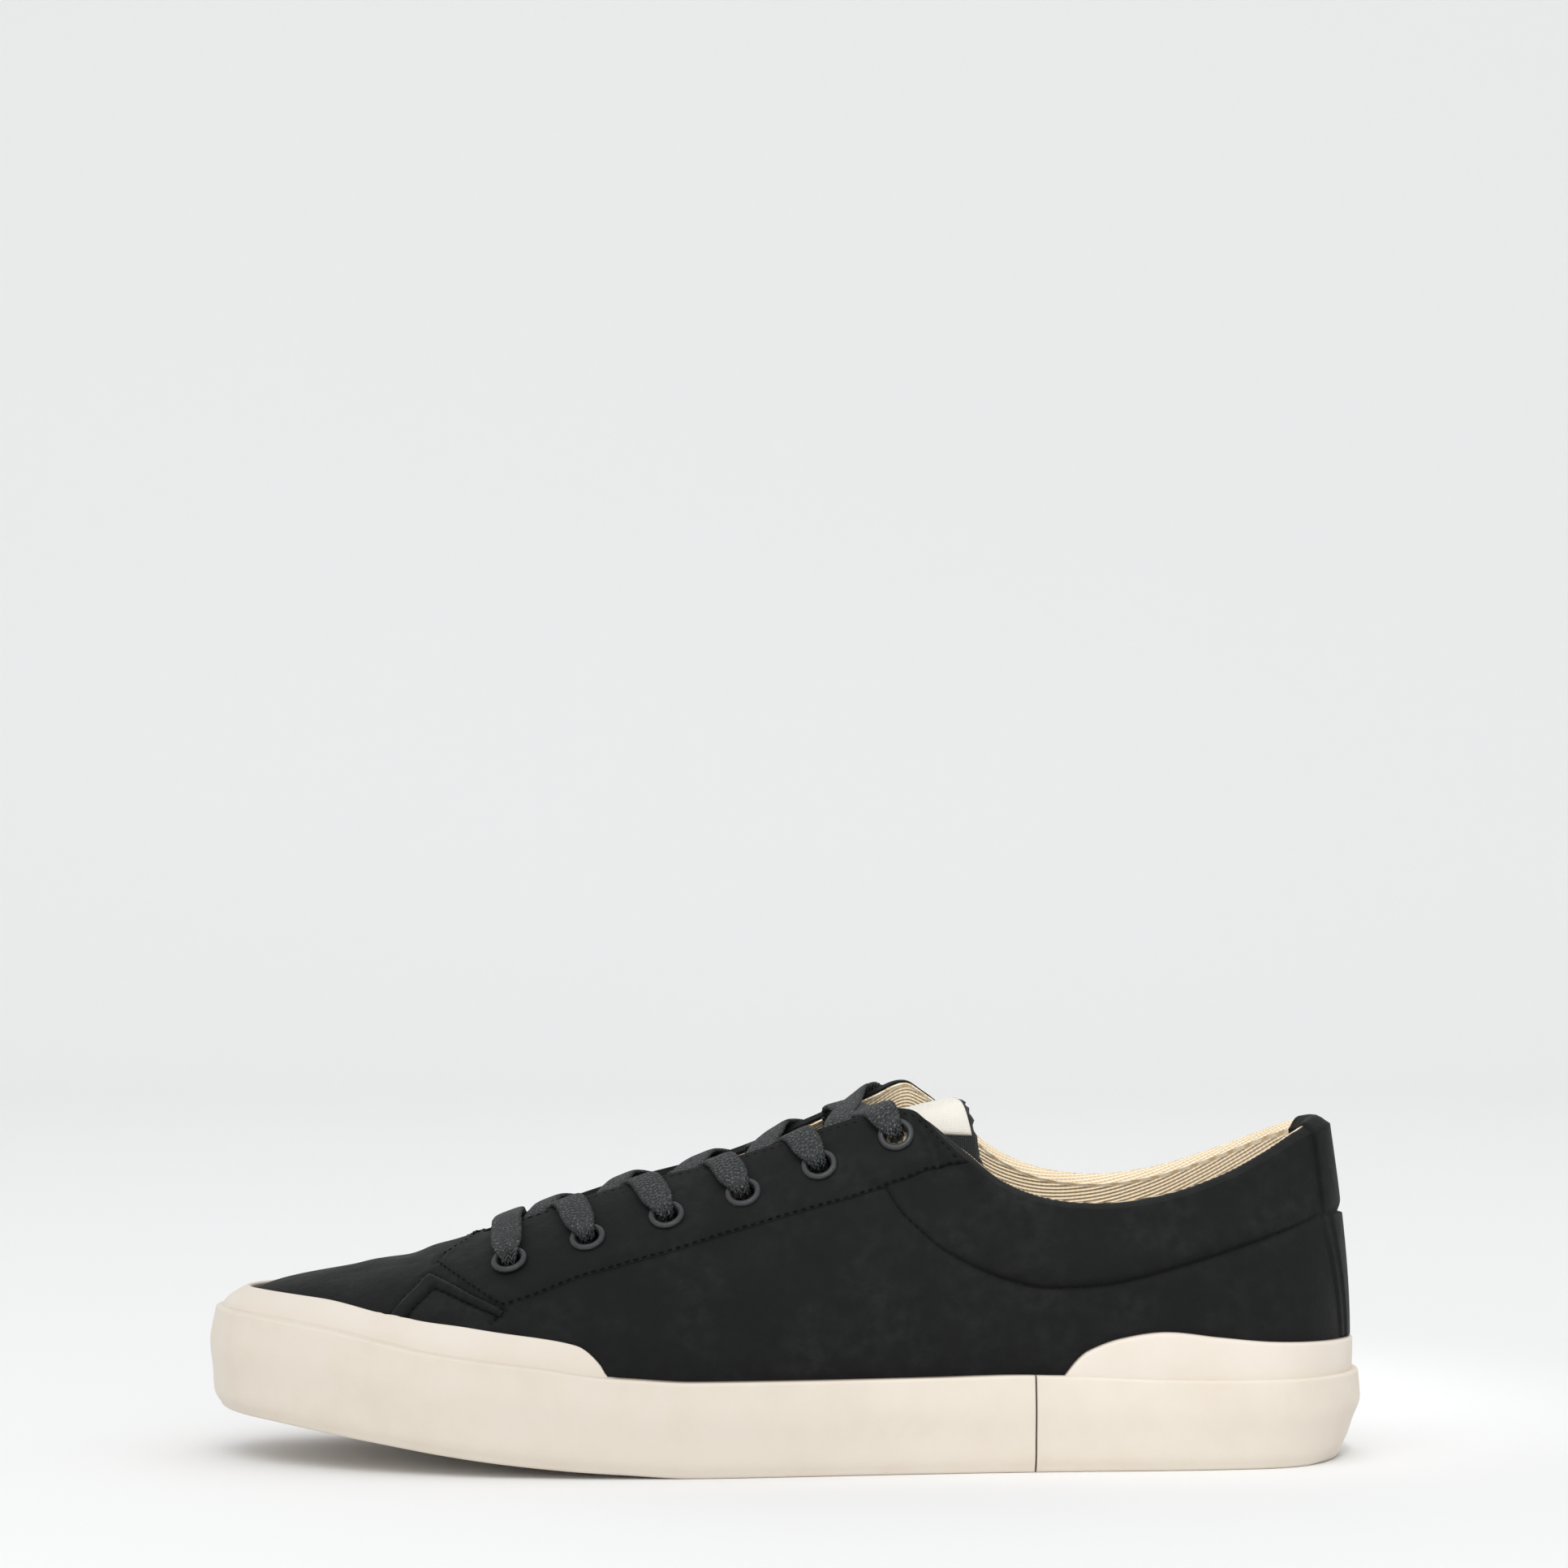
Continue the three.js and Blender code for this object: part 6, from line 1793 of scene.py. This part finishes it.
@dataclass
class Tongue:
    """The padded tongue with the label over its end."""

    last: Last
    cloth: Finish
    tape: Finish
    first: float = 3.7
    tuck: float = 0.86
    crown: float = 0.07
    level: float = 0.0065
    taper: float = 0.2

    def sheet(self, s: Array, w: Array, depth: Array) -> Array:
        """Places on the tongue.

        Args:
            s: Stations along it, past the facing's end where it stands free.
            w: Shares across it, from the outer side.
            depth: How far under its outer face, by station and share.

        Returns:
            The places by station and share.
        """
        last, sizes = self.last, self.last.sizes
        u = np.minimum(s, FACING_TOP)
        past = (s - u)[:, None]
        w = np.broadcast_to(w, depth.shape)
        place = self.spread(self.knots(u, depth), w * 4)
        sideways = np.abs(2 * w - 1)
        middle = last.middle(u)[:, None]
        place[..., 0] += past * (sizes.tongue_reach + sizes.tongue_sweep * sideways)
        droop = sizes.tongue_droop * smooth_step((sideways - 0.3) / 0.7)
        place[..., 2] += past * (sizes.tongue_lift - droop)
        place[..., 1] = middle + (place[..., 1] - middle) * (1 - self.taper * past)
        return place

    def knots(self, u: Array, depth: Array) -> Array:
        """Five places across the tongue at each station and depth, from the outer side."""
        last, sizes = self.last, self.last.sizes
        lowered = sizes.upper_wall + sizes.lace_thickness + 6 * sizes.clearance
        deep = -(lowered + depth)[..., None]
        places = []
        for sign, v in ((-1, self.tuck), (-1, 1.0), (1, 1.0), (1, self.tuck)):
            normal = last.normal(sign * u, np.full_like(u, v))
            places.append(last.wall(sign * u).point(v)[:, None] + normal[:, None] * deep)
        drop = self.level * smooth_step((u - 7) / 3)[:, None]
        for place in places[2:]:
            place[..., 2] -= drop
        a, b, c, d = places
        top = (b + c) / 2
        top[..., 2] += np.linalg.norm(c - b, axis=-1) * self.crown
        return np.stack([a, b, top, c, d], 2)

    @staticmethod
    def spread(knots: Array, t: Array) -> Array:
        """Places on smooth curves t knots along, straight on beyond the first and last knots."""
        i = np.clip(np.floor(t).astype(int), 0, 3)
        share = (t - i)[..., None]

        def knot(k: Array) -> Array:
            """The knots at an index, carried straight on beyond the ends."""
            inner = np.take_along_axis(knots, np.clip(k, 0, 4)[..., None, None], 2)[..., 0, :]
            first = 2 * knots[..., 0, :] - knots[..., 1, :]
            final = 2 * knots[..., 4, :] - knots[..., 3, :]
            inner = np.where((k < 0)[..., None], first, inner)
            return np.where((k > 4)[..., None], final, inner)

        p, q, r, e = (knot(i + k) for k in (-1, 0, 1, 2))
        return 0.5 * (
            2 * q + (r - p) * share + (2 * p - 5 * q + 4 * r - e) * share**2
            + (3 * q - p - 3 * r + e) * share**3
        )

    def build(self) -> None:
        """Makes the tongue and its label."""
        sizes = self.last.sizes
        s = stretches((self.first, FACING_TOP, 100), (FACING_TOP, FACING_TOP + 1, 24))
        w, bulge = rounded_row(0.03, 40, 6)
        half = sizes.tongue_thickness / 2
        end_round = np.sqrt(1 - (1 - np.clip((s[-1] - s) / 0.05, 0, 1)) ** 2)
        lift = half * bulge[None, :] * end_round[:, None]
        outer = self.sheet(s, w[None, :], half - lift)
        inner = self.sheet(s, w[None, ::-1], half + lift[:, ::-1])
        frayed = 0.00025 * (np.sin(61 * w) + np.sin(173 * w + 1)) * (s[:, None] > FACING_TOP + 0.9)
        outer[..., 0] += frayed
        inner[..., 0] += frayed[:, ::-1]
        piece = Workbench.ring_body("padded_tongue", np.concatenate([outer, inner], 1), smooth_degrees=60)
        Workbench.own(piece, self.cloth, "tongue_cloth", "tongue")
        self.label()

    def label(self) -> None:
        """The woven label, stitched on near the tongue's end."""
        sizes = self.last.sizes
        end = FACING_TOP + 1 - sizes.label_margin / sizes.tongue_reach
        s = np.linspace(FACING_TOP - 0.35, end + 0.04, 40)
        w = np.linspace(0.14, 0.86, 70)
        across = np.minimum(w - w[0], w[-1] - w) / 0.012
        along = np.minimum(s - s[0], s[-1] - s) / 0.03
        soft = np.minimum(smooth_step(across)[None, :], smooth_step(along)[:, None])
        ripple = 0.00025 * np.sin(9 * w[None, :] + 3 * s[:, None])
        lift = 1.5 * sizes.clearance + sizes.label_thickness * (0.35 + 0.65 * soft) + ripple
        outer = self.sheet(s, w[None, :], -lift)
        inner = self.sheet(s, w[None, ::-1], 0 * lift + 0.0002)
        piece = Workbench.ring_body("woven_label", np.concatenate([outer, inner], 1), smooth_degrees=60)
        Workbench.own(piece, self.tape, "label_cloth", "tongue_label")


@dataclass(frozen=True)
class Eyelet:
    """Where one eyelet is: its place on the wall, and the wall's directions there."""

    side: Side
    number: int
    u: float
    v: float
    centre: Array
    normal: Array
    along: Array

    def frame_at(self) -> Matrix:
        """The eyelet's own axes: x along the row, z straight out of the wall."""
        up = np.cross(self.normal, self.along)
        turn = Matrix((self.along, up, self.normal)).transposed().to_4x4()
        return Matrix.Translation(Vector(self.centre)) @ turn


@dataclass
class Eyelets:
    """The two rows of painted eyelets."""

    last: Last
    paint: Finish
    rim_sides: int = 56

    def __post_init__(self) -> None:
        """Finds every eyelet's place."""
        self.all = [e for side in Side for e in self.row(side)]

    def row(self, side: Side) -> list[Eyelet]:
        """The eyelets of one side, from the toe's end."""
        last, sizes = self.last, self.last.sizes
        x = np.array([point[0] for point in EYELET_LINE]) * sizes.sole_length
        height = last.lifted_line(side, EYELET_LINE, sizes.facing_height)
        u, v = last.locate(side, x, height(x))
        centre = last.skin(u, v, 0.0, False)
        normal = last.normal(u, v)
        ahead = unit(last.wall(u + side.value * last.STEP).point(v) - centre)
        along = unit(ahead - normal * np.sum(ahead * normal, -1, keepdims=True))
        return [
            Eyelet(side, n + 1, u[n], v[n], centre[n], normal[n], along[n]) for n in range(len(u))
        ]

    def find(self, side: Side, number: int) -> Eyelet:
        """The eyelet of a side with a number."""
        return next(e for e in self.all if e.side is side and e.number == number)

    def cutter(self, last_number: int = len(EYELET_LINE)) -> Piece:
        """One body that cuts the holes of the eyelets up to a number."""
        sizes = self.last.sizes
        deselect()
        radius = sizes.eyelet_barrel + sizes.clearance / 3
        bpy.ops.mesh.primitive_cylinder_add(vertices=32, radius=radius, depth=0.009)
        template = bpy.context.object
        holes = [e.frame_at() for e in self.all if e.number <= last_number]
        body = Workbench.copies(f"eyelet_holes_{last_number}", template, holes)
        bpy.data.objects.remove(template)
        return body

    def profile(self) -> list[tuple[float, float]]:
        """The ring's outline from the barrel's foot over the rolled lip and back."""
        sizes = self.last.sizes
        seat = 2 * sizes.clearance + sizes.facing_thickness
        radius, bore, barrel = sizes.eyelet_radius, sizes.eyelet_bore, sizes.eyelet_barrel
        top = sizes.eyelet_flange
        foot = -sizes.upper_wall
        lip = ((1.0, 0.0), (1.0, 0.3), (0.965, 0.62), (0.9, 0.86), (0.82, 0.97), (0.74, 0.92), (0.67, 0.68))
        return [
            (barrel, foot), (barrel, seat - 0.0001),
            *((radius * share, seat + top * rise) for share, rise in lip),
            (bore * 1.02, seat), (bore, seat - 0.001), (bore, foot),
        ]

    def template(self) -> Piece:
        """One eyelet, drawn up ring by ring from a circle."""
        outline = self.profile()
        deselect()
        bpy.ops.mesh.primitive_circle_add(
            vertices=self.rim_sides, radius=outline[0][0], location=(0, 0, outline[0][1])
        )
        piece = bpy.context.object
        bpy.ops.object.transform_apply(location=True)
        with editing("SELECT"):
            for (radius, height), (wider, higher) in zip(outline, outline[1:] + outline[:1]):
                wide = wider / radius
                bpy.ops.mesh.extrude_region_move()
                bpy.ops.transform.resize(value=(wide, wide, 1), center_override=(0, 0, 0))
                bpy.ops.transform.translate(value=(0, 0, higher - height))
            bpy.ops.mesh.select_all(action="SELECT")
            bpy.ops.mesh.remove_doubles(threshold=Workbench.MERGE)
            bpy.ops.mesh.normals_make_consistent(inside=False)
        bpy.ops.object.shade_smooth_by_angle(angle=math.radians(50))
        return piece

    def build(self) -> None:
        """Makes every eyelet from one."""
        template = self.template()
        for eyelet in self.all:
            name = f"{SIDE_NAMES[eyelet.side]}_{eyelet.number}"
            ring = template.copy()
            ring.data = template.data.copy()
            ring.name = ring.data.name = f"painted_eyelet_{name}"
            bpy.context.scene.collection.objects.link(ring)
            ring.data.transform(eyelet.frame_at())
            Workbench.own(ring, self.paint, "eyelet_paint", f"eyelet_{name}")
        bpy.data.objects.remove(template)


@dataclass(frozen=True)
class Stop:
    """A place on the lace's way, its width's direction and its width there."""

    place: Array
    across: Array
    width: float

    def facing(self, line: Array) -> "Stop":
        """The same stop with its width pointing the same way as a line."""
        if float(self.across @ line) < 0:
            return Stop(self.place, -self.across, self.width)
        return self


@dataclass
class Lace:
    """The flat lace: a straight bar in front, then crossings up to the top eyelets."""

    last: Last
    eyelets: Eyelets
    weave: Finish
    step: float = 0.0003
    section_points: int = 28
    rib: float = 0.0011

    def __post_init__(self) -> None:
        """Works out how high the lace lies over the leather."""
        sizes = self.last.sizes
        self.thick = 0.9 * sizes.lace_thickness
        self.face_lift = 2 * sizes.clearance + sizes.facing_thickness
        self.over_facing = self.face_lift + sizes.lace_thickness / 2 - sizes.clearance
        self.over_flange = self.over_facing + sizes.eyelet_flange
        self.under = -(sizes.upper_wall + 2 * sizes.clearance + sizes.lace_thickness / 2)

    def skin_at(self, u: float, v: float, offset: float) -> Array:
        """One place over the plain leather."""
        return self.last.skin(np.array([u]), np.array([v]), offset, False)[0]

    def landing(self, eyelet: Eyelet, edge_u: float) -> list[Stop]:
        """Over the facing's edge and the eyelet's lip, and down through its bore."""
        sizes = self.last.sizes
        edge = self.skin_at(edge_u, 1.0, self.over_facing - sizes.clearance)
        over_edge = self.last.normal(np.array([edge_u]), np.array([1.0]))[0] + self.throat_normal(edge_u)
        back = edge - eyelet.centre
        back = unit(back - eyelet.normal * (back @ eyelet.normal))
        across = unit(np.cross(eyelet.normal, back))
        narrow = sizes.eyelet_bore * 1.35

        def stop(reach: float, lift: float, width: float) -> Stop:
            """A stop by its reach from the eyelet's middle and its lift over the leather."""
            return Stop(eyelet.centre + back * reach + eyelet.normal * lift, across, width)

        radius = sizes.eyelet_radius
        return [
            Stop(edge, unit(np.cross(over_edge, back)), sizes.lace_width),
            stop(radius * 1.35, self.over_facing + 0.0007, sizes.lace_width * 0.97),
            stop(radius * 0.8, self.over_flange + 0.0001, sizes.lace_width * 0.84),
            stop(radius * 0.3, self.over_flange - 0.0004, sizes.lace_width * 0.62),
            stop(0.0, self.face_lift + sizes.eyelet_flange / 3, narrow),
            stop(-0.0002, -sizes.clearance, narrow),
            stop(0.0, self.under + 0.0004, narrow),
        ]

    def throat_normal(self, u: float) -> Array:
        """Straight out of the throat beside a station."""
        behind, ahead = self.last.crest(np.array([abs(u) - 0.3, abs(u) + 0.3]))
        return unit(np.array([behind[2] - ahead[2], 0.0, ahead[0] - behind[0]]))

    def strap(self, side: Side, number: int) -> list[Stop]:
        """From inside one eyelet, up through the throat and over into the next on the other side."""
        sizes = self.last.sizes
        start = self.eyelets.find(side, number)
        other = Side.INNER if side is Side.OUTER else Side.OUTER
        end = self.eyelets.find(other, number + 1)
        gain = abs(end.u) - abs(start.u)
        rise = start.u + side.value * gain * 0.15
        edge_u = -side.value * (abs(start.u) + gain * (0.72 if side is Side.INNER else 0.45))
        stops = self.landing(end, edge_u)
        hidden = self.skin_at(rise, 0.97, self.under)
        lip = self.skin_at(rise, 1.0, self.under)
        inward = unit(lip - hidden)
        lip = lip + inward * 2.7 * sizes.lace_thickness
        middle = lip + (stops[0].place - lip) * 0.52
        over = 1.1 if side is Side.OUTER else -1.2
        middle[2] += over * sizes.lace_hump
        line = unit(np.cross(stops[0].place - hidden, self.throat_normal(start.u)))
        along = np.cross(self.last.normal(np.array([rise]), np.array([1.0]))[0], inward)
        first = [
            Stop(hidden, along, sizes.lace_width),
            Stop(lip, along, sizes.lace_width),
            Stop(middle, line, sizes.lace_width * 0.96),
        ]
        if end.number == len(EYELET_LINE):
            stops = stops[:-1]
        return [s.facing(line) for s in first + stops]

    def bar(self) -> list[Stop]:
        """Straight over the throat's front, into both of the first eyelets."""
        sizes = self.last.sizes
        arms = []
        for side in Side:
            eyelet = self.eyelets.find(side, 1)
            arms.append(self.landing(eyelet, eyelet.u - side.value * 0.1))
        middle = (arms[0][0].place + arms[1][0].place) / 2
        middle[2] += sizes.lace_thickness / 4
        line = np.cross((0.0, 1.0, 0.0), self.throat_normal(self.eyelets.find(Side.INNER, 1).u))
        stops = arms[0][::-1] + [Stop(middle, line, sizes.lace_width)] + arms[1]
        return [s.facing(line) for s in stops]

    def body(self, name: str, stops: list[Stop], nodes: Sequence[str]) -> None:
        """Weaves a length of lace through its stops.

        Args:
            name: The piece's name.
            stops: The stops in order.
            nodes: The solids that it stands for.
        """
        places = np.array([s.place for s in stops])
        gaps = np.sqrt(np.linalg.norm(np.diff(places, axis=0), axis=-1))
        knots = np.concatenate([[0], np.cumsum(gaps)])
        count = int(np.sum(gaps**2) / self.step)
        t = np.linspace(0, knots[-1], count)
        spine = self.spline(knots, places, t)
        tangent = unit(np.gradient(spine, axis=0))
        across = sampled(t, knots, np.array([s.across for s in stops]))
        across = unit(across - tangent * np.sum(across * tangent, -1, keepdims=True))
        up = np.cross(tangent, across)
        run = lengths_along(spine)
        width = self.spline(knots, np.array([[s.width] for s in stops]), t)[:, 0]
        pinch = np.clip(1 - width / self.last.sizes.lace_width, 0, 1)[:, None]
        scallop = 0.00013 * np.sin(2 * np.pi * run / self.rib)[:, None]
        turn = np.linspace(0, 2 * np.pi, self.section_points, endpoint=False)[None, :]
        side_part = np.sign(np.cos(turn)) * np.abs(np.cos(turn)) ** 0.55
        flat_part = np.sign(np.sin(turn)) * np.abs(np.sin(turn)) ** 0.75
        half = width[:, None] / 2 + scallop * np.abs(side_part) ** 6
        fold = 0.0009 * pinch * np.cos(2.5 * np.pi * side_part) - 0.0004 * pinch
        thick = self.thick / 2 * (1 + 0.5 * pinch)
        ring = (
            spine[:, None]
            + across[:, None] * (side_part * half)[..., None]
            + up[:, None] * (flat_part * thick + fold)[..., None]
        )
        marks = {"pinch": np.broadcast_to(pinch, ring.shape[:2])}
        piece = Workbench.ring_body(name, ring, marks=marks, smooth_degrees=70)
        Workbench.own(piece, self.weave, "lace_weave", *nodes)

    @staticmethod
    def spline(knots: Array, values: Array, t: Array) -> Array:
        """A smooth curve through values at uneven knots."""
        slopes = np.gradient(values, knots, axis=0)
        i = np.clip(np.searchsorted(knots, t, side="right") - 1, 0, len(knots) - 2)
        span = (knots[i + 1] - knots[i])[:, None]
        s = (t[:, None] - knots[i][:, None]) / span
        return cubic((values[i], values[i + 1]), (slopes[i], slopes[i + 1]), span, s)

    def build(self) -> None:
        """Laces the shoe."""
        self.body("flat_lace_bar", self.bar(), ("lace_bar",))
        for number in range(1, len(EYELET_LINE)):
            for side in Side:
                name = f"flat_lace_{SIDE_NAMES[side]}_{number}"
                nodes = (f"lace_crossing_{number}",) if side is Side.OUTER else ()
                self.body(name, self.strap(side, number), nodes)


@dataclass(frozen=True)
class SeamLine:
    """A row of stitches along a side-view line in facing heights, at an offset over the leather."""

    name: str
    line: Line
    offset: float = 0.0


SEAMS = (
    SeamLine("wing_outer", WING_OUTER, 0.0002),
    SeamLine("wing_inner", WING_INNER, 0.0002),
    SeamLine("wing_tail", WING_TAIL),
)


@dataclass
class Stitching:
    """Rows of stitches, each thread a short capsule copied along its seam."""

    last: Last
    thread: Finish
    pitch: float = 0.0022
    length: float = 0.0014
    radius: float = 0.0003

    def template(self) -> Piece:
        """One stitch, a ball drawn out along x."""
        deselect()
        bpy.ops.mesh.primitive_uv_sphere_add(segments=10, ring_count=8, radius=1)
        piece = bpy.context.object
        with editing("SELECT"):
            size = (self.length / 2, self.radius, self.radius * 0.9)
            bpy.ops.transform.resize(value=size, center_override=(0, 0, 0))
        return piece

    def row(self, name: str, places: Array, normals: Array) -> None:
        """Stitches a row along places.

        Args:
            name: The row's name.
            places: The seam's places in order.
            normals: Straight out of the leather at each.
        """
        run = lengths_along(places)
        count = max(2, int(run[-1] / self.pitch))
        at = (np.arange(count) + 0.5) * run[-1] / count
        middle, ahead, behind = (
            sampled(at + shift, run, places) for shift in (0, self.pitch / 3, -self.pitch / 3)
        )
        out = unit(sampled(at, run, normals))
        frames = []
        for place, along, normal in zip(middle, unit(ahead - behind), out):
            sideways = unit(np.cross(normal, along))
            turn = Matrix((along, sideways, np.cross(along, sideways))).transposed().to_4x4()
            frames.append(Matrix.Translation(Vector(place)) @ turn)
        template = self.template()
        piece = Workbench.copies(f"stitches_{name}", template, frames)
        bpy.data.objects.remove(template)
        Workbench.own(piece, self.thread, "lace_weave")

    def along_wall(self, name: str, u: Array, v: Array, offset: float) -> None:
        """Stitches a row over the wall's places."""
        self.row(name, self.last.skin(u, v, offset), self.last.normal(u, v))

    def facing_rows(self, side: Side) -> None:
        """The rows along a facing's lower seam and along its edge at the throat."""
        last, sizes = self.last, self.last.sizes
        name = SIDE_NAMES[side]
        foot = last.facing_foot(side)
        tip, tail = last.stations_at(side, (FACING_FOOT_LINE[0][0], FACING_FOOT_LINE[-1][0] - 0.004), foot)
        u = side.value * np.linspace(tip, tail, 300)
        low = last.shifted(u, last.crossing(u, foot), 0.0006)
        self.along_wall(f"{name}_facing_foot", u, low, 0.0007)
        u = side.value * np.linspace(THROAT + 0.3, tail - 0.12, 300)
        edge = last.shifted(u, np.ones_like(u), -0.0019)
        thick = sizes.facing_thickness * facing_fullness(u)
        self.along_wall(f"{name}_facing_edge", u, edge, thick + sizes.clearance / 2)
        front = last.lifted_line(side, FACING_FRONT_LINE, sizes.facing_height)
        near, far = last.stations_at(side, (FACING_FRONT_LINE[1][0], FACING_FRONT_LINE[-1][0]), front)
        u = side.value * np.linspace(near, min(far, THROAT), 60)
        head = last.shifted(u, last.crossing(u, front), -0.0008)
        thick = sizes.facing_thickness * facing_fullness(0)
        self.along_wall(f"{name}_facing_front", u, head, thick + sizes.clearance / 2)

    def collar_row(self, side: Side) -> None:
        """The row along the collar's padding."""
        last, sizes = self.last, self.last.sizes
        line = last.height_line(COLLAR_SEAM_LINE, sizes.collar_dip)
        foot = last.lifted_line(side, FACING_FOOT_LINE, sizes.facing_height)
        u = side.value * np.linspace(FACING_TOP - 1.5, 20.2, 400)
        v = last.crossing(u, line)
        below = v < last.crossing(u, foot) - 0.005
        self.along_wall(f"{SIDE_NAMES[side]}_collar", u[below], v[below], -0.0001)

    def build(self) -> None:
        """Stitches every row."""
        for side in Side:
            self.facing_rows(side)
            self.collar_row(side)
            for seam in SEAMS:
                t = np.linspace(0, len(seam.line) - 1, 120)
                u, v = self.last.under_line(side, seam.line, t)
                self.along_wall(f"{SIDE_NAMES[side]}_{seam.name}", u, v, seam.offset)


def main() -> None:
    """Builds the trainer and the studio round it."""
    logging.basicConfig(level=logging.INFO, format="%(name)s %(message)s")
    Studio().build()
    sizes = Sizes(sole_length=round(solid_box[1].x - solid_box[0].x, 4))
    last = Last(sizes)
    nubuck = Nubuck().material()
    twill = Twill("beige_twill").material()
    cloth = Cloth("black_cloth", (0.03, 0.034, 0.034, 1.0), (0.008, 0.009, 0.009, 1.0)).material()
    tape = Cloth("off_white_tape", (0.86, 0.83, 0.76, 1.0), (0.7, 0.67, 0.6, 1.0), yarn=0.00035).material()
    canvas = Cloth("beige_canvas", (0.62, 0.50, 0.34, 1.0), (0.34, 0.25, 0.15, 1.0), yarn=0.0008).material()
    weave = Braid().material()
    black = (0.0015, 0.0016, 0.0016, 1.0)
    thread = Thread("black_thread", black, (0.004, 0.0043, 0.0043, 1.0), 0.7).material()
    guard = Rubber("guard_rubber", (0.71, 0.65, 0.57, 1.0), (0.69, 0.62, 0.535, 1.0)).material()
    eyelets = Eyelets(last, Paint().material())
    cutter = eyelets.cutter()
    lining_cutter = eyelets.cutter(len(EYELET_LINE) - 1)
    Upper(last, nubuck, twill).build(cutter, lining_cutter)
    bpy.data.objects.remove(lining_cutter)
    Panels(last, nubuck, guard).build(cutter)
    bpy.data.objects.remove(cutter)
    Sole(last, Rubber("cream_rubber").material(), Rubber("tread_rubber").material(), canvas).build()
    Tongue(last, cloth, tape).build()
    eyelets.build()
    Lace(last, eyelets, weave).build()
    Stitching(last, thread).build()


if __name__ == "__main__":
    main()
